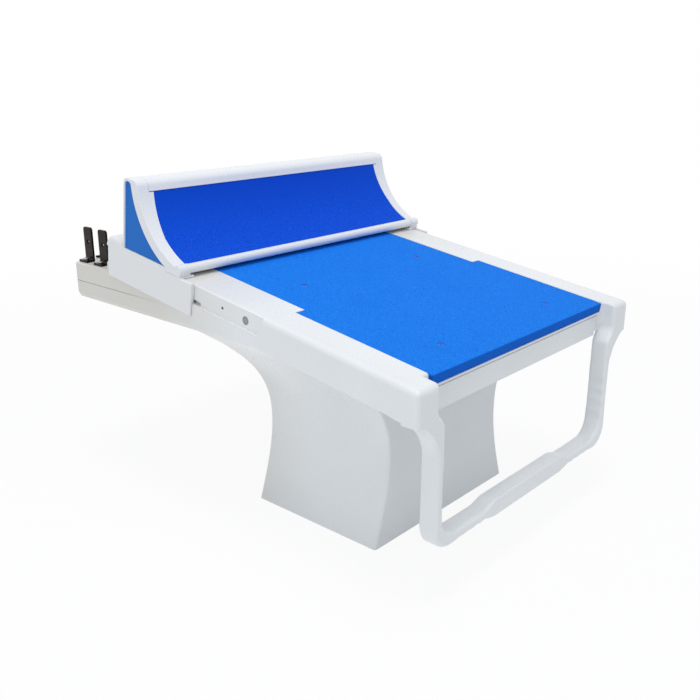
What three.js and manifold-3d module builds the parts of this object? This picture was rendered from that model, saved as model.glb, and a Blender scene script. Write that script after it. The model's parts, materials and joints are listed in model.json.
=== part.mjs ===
// A swimming starting block: a moulded plastic body on a waisted pedestal, with a sloping deck,
// a non-slip mat, a backstroke hand grip at the front, and a sliding kick plate at the rear that
// locks in five places. Millimetres, +Z up, the pool on the -Y side.
// The origin is the middle of the foot, on the floor.
import * as THREE from "three";
import { mergeVertices } from "three/addons/utils/BufferGeometryUtils.js";
import Module from "manifold-3d";

const wasm = await Module();
wasm.setup();

// Body: overall sizes
const blockWidth = 620;
const deckFrontHeight = 355;
const deckSlope = THREE.MathUtils.degToRad(8.62);
const footWidth = 380;
const footDepth = 276;
const waistWidth = 312;
const waistHeight = 150;
const flareAboveBox = 11;
const frontOverhang = 163;
const boxBehindDeck = 112.8;
const lowerBoxHeight = 32;
const upperBoxHeight = 34;
const boxTopDrop = 47.1;
const shellWall = 7;

// Clearances
const seatGap = 0.3;
const runGap = 0.8;
const overrun = 60;
const weldStep = 0.001;

// Deck, measured along the slope (run) and square to it (rise)
const sideBandDepth = 53;
const trackLength = 688;
const postWidth = 48;
const noseLength = 48;
const postReach = 7;
const frontWallSetback = 22;
const frontWallDrop = 57;
const railSolidDepth = 27;
const deckWallInset = 21;
const gripDepth = 33;

// Recess in each side of the deck that the kick plate's skirts slide in
const recessDepth = 3.5;
const recessHeight = 32;
const recessMargin = 23;
const recessFrontLean = 10;
const grooveDepth = 6;
const grooveHeight = 7;
const grooveMargin = 19;
const plugRadius = 6.5;
const plugDepth = 4;
const plugSetback = 40;
const plugDrop = 18.4;
const railHoleRadius = 2.6;
const railHoleDepth = 7;
const railHoleSetback = 94;
const railHoleDrop = 16.6;
const railScrewSink = 1.5;

// Mat
const matFrontMargin = 60;
const matRearMargin = 80;
const matNarrowLength = 227;
const matFrontRun = 15;
const matUnderPlate = 54;
const matThickness = 16;
const matBevel = 1.5;
const boardThickness = 3;
const boardLip = 1.5;
const matScrewHeadRadius = 5;
const matScrewHeadHeight = 2;
const matScrewShankRadius = 2.2;
const matScrewInset = 97;
const matScrewFrontInset = 58;
const matScrewRearInset = 149;
const matScrewBite = 5;

// Hand grip
const gripDrop = 260;
const gripLegInset = 50;
const gripLegThickness = 15;
const gripBarThickness = 16;
const gripSwellBelow = 5;
const gripSwellAbove = 8;
const gripSwellHalf = 116;
const gripSwellEase = 36;
const gripOuterBend = 33;
const gripInnerBend = 36;
const gripShoulderDrop = 54;
const gripShoulderLength = 58;
const gripEdgeRound = 5;
const fingerPitch = 21;
const fingerDepth = 1.3;
const fingersPerSide = 4;
const fingersPerLeg = 3;
const fingerBarStart = 122;
const fingerLegRise = 63;
const gripStudRadius = 6;
const gripStudBelow = 12;
const gripStudAbove = 28;
const gripStudInset = 35;

// Inner steel frame and floor plate
const plateSideMargin = 6;
const plateEndMargin = 28;
const plateThickness = 12;
const columnInset = 30;
const columnDepth = 90;
const columnWall = 5;
const beamWidth = 50;
const beamHeight = 25;
const beamWall = 3;
const beamPlace = 100;
const beamFrontGap = 4;
const beamRearGap = 48;
const crossDepth = 40;
const crossFrontGap = 18;
const crossRearGap = 80;
const anchorShankRadius = 8;
const anchorHeadRadius = 13.5;
const anchorHeadHeight = 10;
const washerRadius = 15;
const washerThickness = 3;
const anchorSideInset = 16;
const anchorEndInset = 22;

// Index strip that the lock's pin drops into
const pitch = 35;
const lockPlaces = 5;
const stripWidth = 36;
const stripThickness = 3;
const stripEndMargin = 12;
const lockSetback = 26;
const lockPinRadius = 5;
const lockHoleDepth = 15;
const lockTravel = 12;

// Kick plate carriage, as run and rise on the deck
const carriageLength = 237;
const skirtOutset = 4;
const skirtLipDepth = 53;
const saddleFlange = 3;
const saddleTop = 10;
const flangeWidth = 29;
const flangeSetback = 28;
const housingDepth = 50;
const housingTop = 20;
const housingCorner = 20;
const housingSideSlope = 24;
const housingSideDrop = 10;
const housingHollowInset = 82;
const housingBossHalf = 30;
const housingSkin = 5;
const runnerLength = 95;

// Kick plate wedge: everything follows one arc, whose centre is in front of the panel
const arcSetback = 4;
const arcLift = 12.7;
const panelRadius = 148;
const panelThickness = 6;
const panelLowAngle = THREE.MathUtils.degToRad(-74.3);
const panelTopAngle = THREE.MathUtils.degToRad(-18.2);
const railProud = 1;
const railDepth = 16.5;
const railFootAngle = THREE.MathUtils.degToRad(-80);
const railWidth = 22;
const railEdgeRound = 2.5;
const housingClearance = 3;
const wedgeTop = 132;
const wedgeFrontCorner = 12;
const wedgeBackCorner = 10;
const wedgeBackThickness = 4;
const cheekThickness = 4;
const cheekSink = 2;
const cheekCorner = 6;
const cheekRim = 5;
const tubeRadius = 8;
const tubeAngle = THREE.MathUtils.degToRad(-77.6);
const ribThickness = 8;
const ribPlace = 100;

// Lock plunger, measured up from the deck
const barrelRadius = 11;
const barrelFlangeRadius = 17;
const barrelFlangeThickness = 4;
const barrelAbove = 12;
const barrelCap = 4;
const springRadius = 8;
const springWall = 1.5;
const collarThickness = 3;
const knobRadius = 14;
const knobHeight = 17;
const knobEdge = 3;
const knobWaist = 3;

// Brackets on the rear box
const bracketWidth = 25;
const bracketThickness = 4;
const bracketHeight = 63;
const bracketFoot = 18;
const bracketInset = 24;
const bracketCorner = 5;
const bracketHoleRadius = 3.8;
const bracketHoleHeight = 36;
const bracketRearReach = 19;
const bracketSpacing = 47;
const rearBarWidth = 6;
const rearBarThickness = 4;
const rearBarInset = 44;
const rearBarSetback = 0.5;
const bracketScrewRadius = 2.5;
const bracketScrewHeadRadius = 4.5;
const bracketScrewHeadHeight = 3;
const bracketScrewBite = 8;

// Roundness of curves, in steps
const arcSteps = 12;
const cornerSteps = 4;
const boreSteps = 16;
const smallSteps = 8;

// Places worked out from the sizes
const halfWidth = blockWidth / 2;
const footFront = -footDepth / 2;
const footRear = footDepth / 2;
const deckFrontY = footFront - frontOverhang;
const deckRearHeight = deckFrontHeight + trackLength * Math.sin(deckSlope);
const armTopHeight = deckRearHeight - boxTopDrop;
const seamHeight = armTopHeight - upperBoxHeight;
const armBottomHeight = seamHeight - lowerBoxHeight;
const flareTopHeight = armBottomHeight + flareAboveBox;
const armRearY = deckFrontY + trackLength * Math.cos(deckSlope) + boxBehindDeck;
const postFrontY = deckFrontY - postReach;
const postInner = halfWidth - postWidth;
const frontWallBottom = deckFrontHeight - frontWallDrop;
const matFrontWidth = blockWidth - 2 * matFrontMargin;
const matRearWidth = blockWidth - 2 * matRearMargin;
const matRecess = matThickness + boardThickness + 2 * seatGap;

// Carriage and lock, as run on the deck
const carriageRearRun = trackLength;
const carriageFrontRun = carriageRearRun - carriageLength;
const housingFrontRun = carriageRearRun - housingDepth;
const wedgeBackRun = housingFrontRun - housingClearance;
const lockRun = carriageRearRun - lockSetback;
const lockTravelRun = pitch * (lockPlaces - 1);
const matRearRun = carriageFrontRun + matUnderPlate;
const matStepRun = matRearRun - matNarrowLength;
const matScrewFrontRun = matFrontRun + matScrewFrontInset;
const matScrewRearRun = matRearRun - matScrewRearInset;
const recessFrontRun = carriageFrontRun - lockTravelRun - recessMargin;
const grooveFrontRun = carriageRearRun - runnerLength - lockTravelRun - grooveMargin;
const plugRun = recessFrontRun + plugSetback;
const railHoleRun = recessFrontRun + railHoleSetback;

// Carriage across the deck and above it
const carriageOuter = halfWidth + skirtOutset;
const railFace = halfWidth - recessDepth;
const skirtInner = railFace + runGap;
const flangeInner = carriageOuter - flangeWidth;
const housingHollowHalf = carriageOuter - housingHollowInset;
const railInner = carriageOuter - railWidth;
const saddleBottom = runGap;
const flangeTop = saddleBottom + saddleFlange;
const plateTop = saddleTop + seatGap;
const railFrontRadius = panelRadius - railProud;
const railBackRadius = railFrontRadius + railDepth;
const arcRun = carriageFrontRun + arcSetback;
const arcRise = panelRadius + arcLift;
const plateFrontRun = arcRun + Math.sqrt(railBackRadius ** 2 - (arcRise - plateTop) ** 2);

// Hand grip
const gripRearY = postFrontY + gripDepth;
const gripBottomHeight = deckFrontHeight - gripDrop;
const gripShoulderTop = deckFrontHeight - gripShoulderDrop;
const gripShoulderBottom = gripShoulderTop - gripShoulderLength;
const gripLegOuter = halfWidth - gripLegInset;
const gripStudPlace = halfWidth - gripStudInset;
const fingerLegStart = gripBottomHeight + fingerLegRise;

// Inner frame
const plateWidth = waistWidth - 2 * plateSideMargin;
const plateDepth = footDepth - 2 * plateEndMargin;
const anchorPlaceX = plateWidth / 2 - anchorSideInset;
const anchorPlaceY = plateDepth / 2 - anchorEndInset;
const columnWidth = plateWidth - 2 * columnInset;
const columnTopDrop = railSolidDepth + beamHeight + 2 * seatGap;
const beamFrontRun = noseLength + beamFrontGap;
const beamRearRun = trackLength - beamRearGap;
const crossFrontRun = beamFrontRun + crossFrontGap;
const crossRearRun = beamRearRun - crossRearGap;

// Brackets and bar on the rear box
const bracketPlaces = [
  ["rear", armRearY - bracketRearReach],
  ["front", armRearY - bracketRearReach - bracketSpacing],
];
const bracketRight = bracketInset - halfWidth;
const bracketScrewX = bracketRight - (bracketFoot + bracketThickness) / 2;
const rearBarHalf = halfWidth - rearBarInset;

// The deck's own frame: X across, Y up the slope, Z square to the deck
const deckMatrix = new THREE.Matrix4()
  .makeTranslation(0, deckFrontY, deckFrontHeight)
  .multiply(new THREE.Matrix4().makeRotationX(deckSlope));

// Materials
function finish(colour, roughness, metalness = 0) {
  return new THREE.MeshStandardMaterial({ color: colour, roughness, metalness });
}
const whiteShell = finish("#eef1f4", 0.28);
const whiteFrame = finish("#e6ebf0", 0.25);
const blueMat = finish("#1f6fe0", 0.85);
const bluePanel = finish("#1450cc", 0.85);
const blueCheek = finish("#2d6ebe", 0.3);
const greyPlug = finish("#8d9298", 0.5);
const steel = finish("#b8bcc0", 0.35, 1);
const darkSteel = finish("#1a1512", 0.3, 0.8);
const zinc = finish("#9aa0a6", 0.45, 1);
const palePlastic = finish("#dcdcd4", 0.5);
const blackPlastic = finish("#16171a", 0.45);

// Solids and geometry
function solidOf(geometry) {
  const bare = geometry.clone();
  bare.deleteAttribute("normal");
  bare.deleteAttribute("uv");
  const welded = mergeVertices(bare, weldStep);
  const mesh = new wasm.Mesh({
    numProp: 3,
    vertProperties: welded.attributes.position.array,
    triVerts: new Uint32Array(welded.index.array),
  });
  return new wasm.Manifold(mesh);
}

function geometryOf(solid) {
  const mesh = solid.getMesh();
  const indexed = new THREE.BufferGeometry();
  const places = new Float32Array(mesh.vertProperties);
  indexed.setAttribute("position", new THREE.BufferAttribute(places, 3));
  indexed.setIndex(new THREE.BufferAttribute(new Uint32Array(mesh.triVerts), 1));
  const faceted = indexed.toNonIndexed();
  faceted.computeVertexNormals();
  return faceted;
}

function joined(...geometries) {
  return geometryOf(geometries.map(solidOf).reduce((whole, next) => whole.add(next)));
}

function cut(geometry, ...cutters) {
  return geometryOf(cutters.map(solidOf).reduce((whole, next) => whole.subtract(next), solidOf(geometry)));
}

function common(geometry, other) {
  return geometryOf(solidOf(geometry).intersect(solidOf(other)));
}

function block(low, high) {
  const size = low.map((value, axis) => high[axis] - value);
  const centre = low.map((value, axis) => (high[axis] + value) / 2);
  return new THREE.BoxGeometry(...size).translate(...centre);
}

// The same box on both sides of the middle plane, from inner to outer
function blockOn(side, inner, outer, low, high) {
  const left = side < 0 ? -outer : inner;
  const right = side < 0 ? -inner : outer;
  return block([left, ...low], [right, ...high]);
}

function extruded(shape, length, round, roundSteps) {
  const geometry = new THREE.ExtrudeGeometry(shape, {
    depth: length - 2 * round,
    curveSegments: arcSteps,
    bevelEnabled: round > 0,
    bevelThickness: round,
    bevelSize: round,
    bevelOffset: -round,
    bevelSegments: roundSteps,
  });
  return geometry.translate(0, 0, round);
}

// A (y, z) outline pulled from x = from to x = to
function alongX(shape, from, to, round = 0, roundSteps = 2) {
  const turn = new THREE.Matrix4().makeBasis(
    new THREE.Vector3(0, 1, 0),
    new THREE.Vector3(0, 0, 1),
    new THREE.Vector3(1, 0, 0),
  );
  return extruded(shape, to - from, round, roundSteps).applyMatrix4(turn).translate(from, 0, 0);
}

// An (x, z) outline pulled from y = from to y = to
function alongY(shape, from, to, round = 0, roundSteps = 2) {
  const turn = new THREE.Matrix4().makeBasis(
    new THREE.Vector3(1, 0, 0),
    new THREE.Vector3(0, 0, 1),
    new THREE.Vector3(0, -1, 0),
  );
  return extruded(shape, to - from, round, roundSteps).applyMatrix4(turn).translate(0, to, 0);
}

// An (x, y) outline pulled from z = from to z = to
function alongZ(shape, from, to, round = 0, roundSteps = 2) {
  return extruded(shape, to - from, round, roundSteps).translate(0, 0, from);
}

function polygon(points) {
  const apart = points.filter(([across, up], index) => {
    const [lastAcross, lastUp] = points[(index + points.length - 1) % points.length];
    return Math.hypot(across - lastAcross, up - lastUp) > weldStep;
  });
  return new THREE.Shape(apart.map(([across, up]) => new THREE.Vector2(across, up)));
}

function arc([centreAcross, centreUp], radius, from, to, steps) {
  return Array.from({ length: steps + 1 }, (_, index) => {
    const angle = from + ((to - from) * index) / steps;
    return [centreAcross + radius * Math.cos(angle), centreUp + radius * Math.sin(angle)];
  });
}

function rodAlongX(radius, from, to, y, z, steps = boreSteps) {
  const rod = new THREE.CylinderGeometry(radius, radius, to - from, steps);
  return rod.rotateZ(Math.PI / 2).translate((from + to) / 2, y, z);
}

function rodAlongZ(radius, from, to, x, y, steps = boreSteps) {
  const rod = new THREE.CylinderGeometry(radius, radius, to - from, steps);
  return rod.rotateX(Math.PI / 2).translate(x, y, (from + to) / 2);
}

function onDeck(geometry) {
  return geometry.clone().applyMatrix4(deckMatrix);
}

function arcPoint(radius, angle) {
  return [arcRun + radius * Math.cos(angle), arcRise + radius * Math.sin(angle)];
}

// The angle at which a circle about the arc's centre reaches a rise above the deck
function angleAt(radius, rise) {
  return Math.asin((rise - arcRise) / radius);
}

const startingBlock = new THREE.Group();
startingBlock.name = "starting_block";
const deckGroup = new THREE.Group();
deckGroup.position.set(0, deckFrontY, deckFrontHeight);
deckGroup.rotation.x = deckSlope;
const carriageGroup = new THREE.Group();
startingBlock.add(deckGroup);
deckGroup.add(carriageGroup);

function place(group, name, geometry, material) {
  const mesh = new THREE.Mesh(geometry, material);
  mesh.name = name;
  group.add(mesh);
}

const sides = [
  ["left", -1],
  ["right", 1],
];

// Pedestal: an hourglass outline that flares into the full width of the deck
const footCurveShares = [
  [0.5, 0.33],
  [0, 0.67],
];
const flareCurveShares = [
  [0, 0.35],
  [0.24, 0.544],
  [0.61, 0.757],
  [0.8, 0.874],
  [0.987, 0.922],
  [1, 1],
];

function hourglass(inset, bottom, top) {
  const foot = footWidth / 2 - inset;
  const waist = waistWidth / 2 - inset;
  const full = halfWidth - inset;
  const footCurve = footCurveShares.map(([across, up]) => [
    waist + across * (foot - waist),
    up * waistHeight,
  ]);
  const flareCurve = flareCurveShares.map(([across, up]) => [
    waist + across * (full - waist),
    waistHeight + up * (flareTopHeight - waistHeight),
  ]);
  const right = new THREE.Path();
  right.moveTo(foot, 0);
  right.bezierCurveTo(...footCurve[0], ...footCurve[1], waist, waistHeight);
  right.bezierCurveTo(...flareCurve[0], ...flareCurve[1], ...flareCurve[2]);
  right.bezierCurveTo(...flareCurve[3], ...flareCurve[4], ...flareCurve[5]);
  const curve = right.getPoints(arcSteps).map((point) => [point.x, point.y]);
  const half = [[foot, bottom], ...curve, [full, top]].filter(
    ([, up], index, all) => index === 0 || up > all[index - 1][1],
  );
  const mirrored = half.map(([across, up]) => [-across, up]).reverse();
  return polygon([...half, ...mirrored]);
}

function pedestalShell() {
  const top = armTopHeight;
  const column = alongY(hourglass(0, 0, top), footFront, footRear);
  const arm = block([-halfWidth, 0, armBottomHeight], [halfWidth, armRearY, top]);
  const inside = hourglass(shellWall, -overrun, top + overrun);
  const hollow = alongY(inside, footFront + shellWall, footRear - shellWall);
  const armHollow = block(
    [shellWall - halfWidth, 0, armBottomHeight + shellWall],
    [halfWidth - shellWall, armRearY - shellWall, top + overrun],
  );
  const aboveDeck = block(
    [-blockWidth, -trackLength, -sideBandDepth - seatGap],
    [blockWidth, 2 * trackLength, overrun + sideBandDepth],
  );
  const aboveSeam = block(
    [-blockWidth, -trackLength, seamHeight],
    [blockWidth, 2 * trackLength, top + overrun],
  );
  return cut(joined(column, arm), hollow, armHollow, onDeck(aboveDeck), aboveSeam);
}

// Deck: a hollow sloping tray with solid side rails, corner posts and the rear box's upper half
function matOutline(grow) {
  const front = matFrontWidth / 2 + grow;
  const rear = matRearWidth / 2 + grow;
  return polygon([
    [-front, matFrontRun - grow],
    [front, matFrontRun - grow],
    [front, matStepRun + grow],
    [rear, matStepRun + grow],
    [rear, matRearRun + grow],
    [-rear, matRearRun + grow],
    [-rear, matStepRun + grow],
    [-front, matStepRun + grow],
  ]);
}

function lockRuns() {
  return Array.from({ length: lockPlaces }, (_, index) => lockRun - index * pitch);
}

function matScrewPlaces() {
  const across = matFrontWidth / 2 - matScrewInset;
  return [
    [-across, matScrewFrontRun],
    [across, matScrewFrontRun],
    [-across, matScrewRearRun],
    [across, matScrewRearRun],
  ];
}

const stripLow = lockRun - lockTravelRun - stripEndMargin;
const stripHigh = lockRun + stripEndMargin;

function stripBlock(grow, top) {
  const half = stripWidth / 2 + grow;
  return block([-half, stripLow - grow, -stripThickness - grow], [half, stripHigh + grow, top]);
}

function lockHoles(bottom) {
  return lockRuns().map((run) => rodAlongZ(lockPinRadius + seatGap, bottom, overrun, 0, run));
}

function sideCutters(side) {
  const inner = railFace;
  const outer = halfWidth + overrun;
  const far = trackLength + overrun;
  const recess = polygon([
    [recessFrontRun, overrun],
    [recessFrontRun, 0],
    [recessFrontRun + recessFrontLean, -recessHeight],
    [far, -recessHeight],
    [far, overrun],
  ]);
  const from = side < 0 ? -outer : inner;
  const to = side < 0 ? -inner : outer;
  const grooveLow = [grooveFrontRun, -recessHeight];
  const grooveHigh = [far, grooveHeight - recessHeight];
  const plugFrom = side < 0 ? -outer : inner - plugDepth - seatGap;
  const plugTo = side < 0 ? plugDepth + seatGap - inner : outer;
  const holeFrom = side < 0 ? -outer : inner - railHoleDepth;
  const holeTo = side < 0 ? railHoleDepth - inner : outer;
  return [
    alongX(recess, from, to),
    blockOn(side, inner - grooveDepth, outer, grooveLow, grooveHigh),
    rodAlongX(plugRadius + seatGap, plugFrom, plugTo, plugRun, -plugDrop),
    rodAlongX(railHoleRadius, holeFrom, holeTo, railHoleRun, -railHoleDrop),
  ];
}

function deckShell() {
  const slab = block([-halfWidth, -overrun, -sideBandDepth], [halfWidth, trackLength, 0]);
  const box = block([-halfWidth, 0, seamHeight + seatGap], [halfWidth, armRearY, armTopHeight]);
  const wallFaceY = deckFrontY + frontWallSetback;
  const frontWall = block(
    [seatGap + gripLegThickness - gripLegOuter, wallFaceY, frontWallBottom],
    [gripLegOuter - gripLegThickness - seatGap, wallFaceY + shellWall, deckFrontHeight - matRecess],
  );
  const farFrontY = deckFrontY - blockWidth;
  const beforePosts = block([-blockWidth, farFrontY, 0], [blockWidth, postFrontY, armTopHeight]);
  const betweenPosts = block([-postInner, farFrontY, 0], [postInner, wallFaceY, armTopHeight]);
  const hollow = block(
    [deckWallInset - halfWidth, noseLength, -sideBandDepth - overrun],
    [halfWidth - deckWallInset, trackLength - shellWall, -railSolidDepth],
  );
  const boxHollow = block(
    [shellWall - halfWidth, footRear + shellWall, 0],
    [halfWidth - shellWall, armRearY - shellWall, armTopHeight - shellWall],
  );
  const matRecessCut = alongZ(matOutline(seatGap), -matRecess, overrun);
  const matMouth = block(
    [-matFrontWidth / 2 - seatGap, -overrun, -matRecess],
    [matFrontWidth / 2 + seatGap, matFrontRun + matBevel, overrun],
  );
  const aboveTrack = block([-blockWidth, -trackLength, 0], [blockWidth, trackLength, trackLength]);
  const body = joined(onDeck(slab), cut(box, onDeck(aboveTrack)), frontWall);
  const moulding = cut(body, beforePosts, betweenPosts, onDeck(hollow), boxHollow);
  const screwHoles = matScrewPlaces().map(([x, run]) =>
    rodAlongZ(matScrewShankRadius + seatGap, -matRecess - matScrewBite - 1, 0, x, run, smallSteps),
  );
  const deckCutters = [
    matRecessCut,
    matMouth,
    stripBlock(seatGap, overrun),
    ...lockHoles(-lockHoleDepth),
    ...screwHoles,
    ...sideCutters(-1),
    ...sideCutters(1),
  ];
  const bracketHoles = bracketPlaces.map(([, y]) =>
    rodAlongZ(bracketScrewRadius + seatGap, seamHeight, blockWidth, bracketScrewX, y, smallSteps),
  );
  const studs = sides.map(([, side]) => gripStud(side, seatGap));
  return cut(moulding, ...deckCutters.map(onDeck), ...studs, ...bracketHoles);
}

const gripMidY = (postFrontY + gripRearY) / 2;

function gripStud(side, grow) {
  return rodAlongZ(
    gripStudRadius + grow,
    gripShoulderTop - gripStudBelow - grow,
    gripShoulderTop + gripStudAbove + grow,
    side * gripStudPlace,
    gripMidY,
    smallSteps,
  );
}

// Hand grip: one loop, flat in the middle of each side, swollen in the middle of the bar
function eased(share) {
  return share * share * (3 - 2 * share);
}

// How far the bar swells at a distance from the middle, from 0 to 1
function swell(across) {
  const share = (gripSwellHalf + gripSwellEase / 2 - across) / gripSwellEase;
  return eased(Math.min(1, Math.max(0, share)));
}

function fingerWave(distance, start, count) {
  const place = (distance - start) / fingerPitch;
  if (place < 0 || place > count) return 0;
  return (fingerDepth * (1 - Math.cos(2 * Math.PI * place))) / 2;
}

const shoulderShares = [
  [0.4, 0.05],
  [0.92, 0.5],
];

// Distances of the bar's bends, finger waves and swell from the middle, outermost first
function barPlaces(end) {
  const steps = (count) => Array.from({ length: count + 1 }, (_, index) => index);
  const waves = steps(2 * fingersPerSide).map((step) => fingerBarStart + (step * fingerPitch) / 2);
  const swellEnd = gripSwellHalf + gripSwellEase / 2;
  const swells = steps(cornerSteps).map((step) => swellEnd - (step * gripSwellEase) / cornerSteps);
  return [...waves, ...swells, 0].filter((across) => across < end).sort((one, other) => other - one);
}

function gripOutline() {
  const top = gripShoulderTop + overrun;
  const inner = gripLegOuter - gripLegThickness;
  const barTop = gripBottomHeight + gripBarThickness;
  const outerStraight = gripLegOuter - gripOuterBend;
  const innerStraight = inner - gripInnerBend;
  const shoulder = new THREE.CubicBezierCurve(
    new THREE.Vector2(halfWidth, gripShoulderTop),
    ...shoulderShares.map(
      ([across, down]) =>
        new THREE.Vector2(
          halfWidth - across * (halfWidth - gripLegOuter),
          gripShoulderTop - down * (gripShoulderTop - gripShoulderBottom),
        ),
    ),
    new THREE.Vector2(gripLegOuter, gripShoulderBottom),
  );
  const outer = [
    [halfWidth, top],
    ...shoulder.getPoints(smallSteps).map((point) => [point.x, point.y]),
    ...arc([outerStraight, gripBottomHeight + gripOuterBend], gripOuterBend, 0, -Math.PI / 2, smallSteps),
    ...barPlaces(outerStraight).map((across) => {
      const wave = fingerWave(across, fingerBarStart, fingersPerSide);
      return [across, gripBottomHeight + wave - gripSwellBelow * swell(across)];
    }),
  ];
  const innerSide = [
    [inner, top],
    [inner, gripShoulderBottom],
    ...Array.from({ length: 2 * fingersPerLeg + 1 }, (_, index) => {
      const height = fingerLegStart + ((2 * fingersPerLeg - index) * fingerPitch) / 2;
      return [inner + fingerWave(height, fingerLegStart, fingersPerLeg), height];
    }),
    ...arc([innerStraight, barTop + gripInnerBend], gripInnerBend, 0, -Math.PI / 2, smallSteps),
    ...barPlaces(innerStraight).map((across) => [across, barTop + gripSwellAbove * swell(across)]),
  ];
  const mirror = (points) => points.slice(0, -1).map(([across, up]) => [-across, up]).reverse();
  const outerRight = outer.slice().reverse();
  return polygon([...innerSide, ...mirror(innerSide), ...mirror(outer).reverse(), ...outerRight]);
}

function handGrip() {
  const loop = alongY(gripOutline(), postFrontY, gripRearY, gripEdgeRound, 1);
  const aboveJoint = block(
    [-blockWidth, -overrun, -sideBandDepth - seatGap],
    [blockWidth, trackLength, 2 * overrun],
  );
  return cut(loop, onDeck(aboveJoint), ...sides.map(([, side]) => gripStud(side, seatGap)));
}

place(startingBlock, "pedestal_shell", pedestalShell(), whiteShell);
place(startingBlock, "deck_shell", deckShell(), whiteShell);
place(startingBlock, "hand_grip", handGrip(), whiteShell);
for (const [word, side] of sides) {
  place(startingBlock, `grip_stud_${word}`, gripStud(side, 0), steel);
}

// Mat, its backing board and its four screws
const matScrewHoles = matScrewPlaces().map(([x, run]) =>
  rodAlongZ(matScrewShankRadius + seatGap, -overrun, overrun, x, run, smallSteps),
);
const matHeadHoles = matScrewPlaces().map(([x, run]) =>
  rodAlongZ(matScrewHeadRadius + seatGap, -matScrewHeadHeight - seatGap, overrun, x, run, smallSteps),
);
const matSolid = alongZ(matOutline(0), -matThickness, 0, matBevel, 1);
place(deckGroup, "top_mat", cut(matSolid, ...matScrewHoles, ...matHeadHoles), blueMat);
const boardTop = -matThickness - seatGap;
const boardLipBlock = block(
  [-matFrontWidth / 2, matFrontRun - boardLip, boardTop - boardThickness],
  [matFrontWidth / 2, matFrontRun + matBevel, boardTop],
);
const board = joined(alongZ(matOutline(0), boardTop - boardThickness, boardTop), boardLipBlock);
place(deckGroup, "mat_board", cut(board, ...matScrewHoles), whiteShell);
matScrewPlaces().forEach(([x, run], index) => {
  const head = rodAlongZ(matScrewHeadRadius, -matScrewHeadHeight, 0, x, run, smallSteps);
  const tip = -matRecess - matScrewBite;
  const shank = rodAlongZ(matScrewShankRadius, tip, -matScrewHeadHeight / 2, x, run, smallSteps);
  place(deckGroup, `mat_screw_${index + 1}`, joined(head, shank), zinc);
});

// Plugs and screws in the side rails
for (const [word, side] of sides) {
  const plugFace = railFace;
  const plugFrom = side < 0 ? -plugFace : plugFace - plugDepth;
  const plugTo = side < 0 ? plugDepth - plugFace : plugFace;
  const plug = rodAlongX(plugRadius, plugFrom, plugTo, plugRun, -plugDrop);
  place(deckGroup, `rail_plug_${word}`, plug, greyPlug);
  const screwOuter = railFace - railScrewSink;
  const screwInner = railFace - railHoleDepth + seatGap;
  const screwFrom = side < 0 ? -screwOuter : screwInner;
  const screwTo = side < 0 ? -screwInner : screwOuter;
  const screw = rodAlongX(railHoleRadius - seatGap, screwFrom, screwTo, railHoleRun, -railHoleDrop);
  place(deckGroup, `rail_screw_${word}`, screw, zinc);
}

// Strip with one hole for each place of the kick plate
place(deckGroup, "index_strip", cut(stripBlock(0, 0), ...lockHoles(-overrun)), steel);

// Steel frame inside the shells, and the floor plate with its anchors
const anchorPlaces = [
  [-anchorPlaceX, -anchorPlaceY],
  [anchorPlaceX, -anchorPlaceY],
  [-anchorPlaceX, anchorPlaceY],
  [anchorPlaceX, anchorPlaceY],
];
const plate = block([-plateWidth / 2, -plateDepth / 2, 0], [plateWidth / 2, plateDepth / 2, plateThickness]);
const anchorHole = anchorShankRadius + seatGap;
const plateHoles = anchorPlaces.map(([x, y]) => rodAlongZ(anchorHole, -overrun, overrun, x, y));
place(startingBlock, "floor_plate", cut(plate, ...plateHoles), steel);
anchorPlaces.forEach(([x, y], index) => {
  const low = plateThickness + seatGap;
  const washer = cut(
    rodAlongZ(washerRadius, low, low + washerThickness, x, y),
    rodAlongZ(anchorHole, 0, overrun, x, y),
  );
  place(startingBlock, `anchor_washer_${index + 1}`, washer, zinc);
  const headLow = low + washerThickness + seatGap;
  const head = rodAlongZ(anchorHeadRadius, headLow, headLow + anchorHeadHeight, x, y, 6);
  const shank = rodAlongZ(anchorShankRadius, seatGap, headLow + seatGap, x, y);
  place(startingBlock, `anchor_bolt_${index + 1}`, joined(head, shank), zinc);
});

function columnPart(inset, low, high) {
  return block(
    [inset - columnWidth / 2, inset - columnDepth / 2, low],
    [columnWidth / 2 - inset, columnDepth / 2 - inset, high],
  );
}
const aboveColumn = block(
  [-blockWidth, -trackLength, -columnTopDrop],
  [blockWidth, 2 * trackLength, blockWidth],
);
const column = cut(
  columnPart(0, plateThickness + seatGap, armTopHeight),
  columnPart(columnWall, -overrun, armTopHeight + overrun),
  onDeck(aboveColumn),
);
place(startingBlock, "frame_column", column, steel);
const beamTop = -railSolidDepth - seatGap;
for (const [word, side] of sides) {
  const outerBeam = blockOn(
    side,
    beamPlace - beamWidth / 2,
    beamPlace + beamWidth / 2,
    [beamFrontRun, beamTop - beamHeight],
    [beamRearRun, beamTop],
  );
  const bore = blockOn(
    side,
    beamPlace - beamWidth / 2 + beamWall,
    beamPlace + beamWidth / 2 - beamWall,
    [beamFrontRun - overrun, beamTop - beamHeight + beamWall],
    [beamRearRun + overrun, beamTop - beamWall],
  );
  place(deckGroup, `frame_beam_${word}`, cut(outerBeam, bore), steel);
}
const crossReach = beamPlace - beamWidth / 2 - seatGap;
const crosses = [
  ["front", crossFrontRun],
  ["rear", crossRearRun],
];
for (const [word, run] of crosses) {
  const cross = block([-crossReach, run, beamTop - beamHeight], [crossReach, run + crossDepth, beamTop]);
  const bore = block(
    [-crossReach - overrun, run + beamWall, beamTop - beamHeight + beamWall],
    [crossReach + overrun, run + crossDepth - beamWall, beamTop - beamWall],
  );
  place(deckGroup, `frame_cross_${word}`, cut(cross, bore), steel);
}

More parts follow.
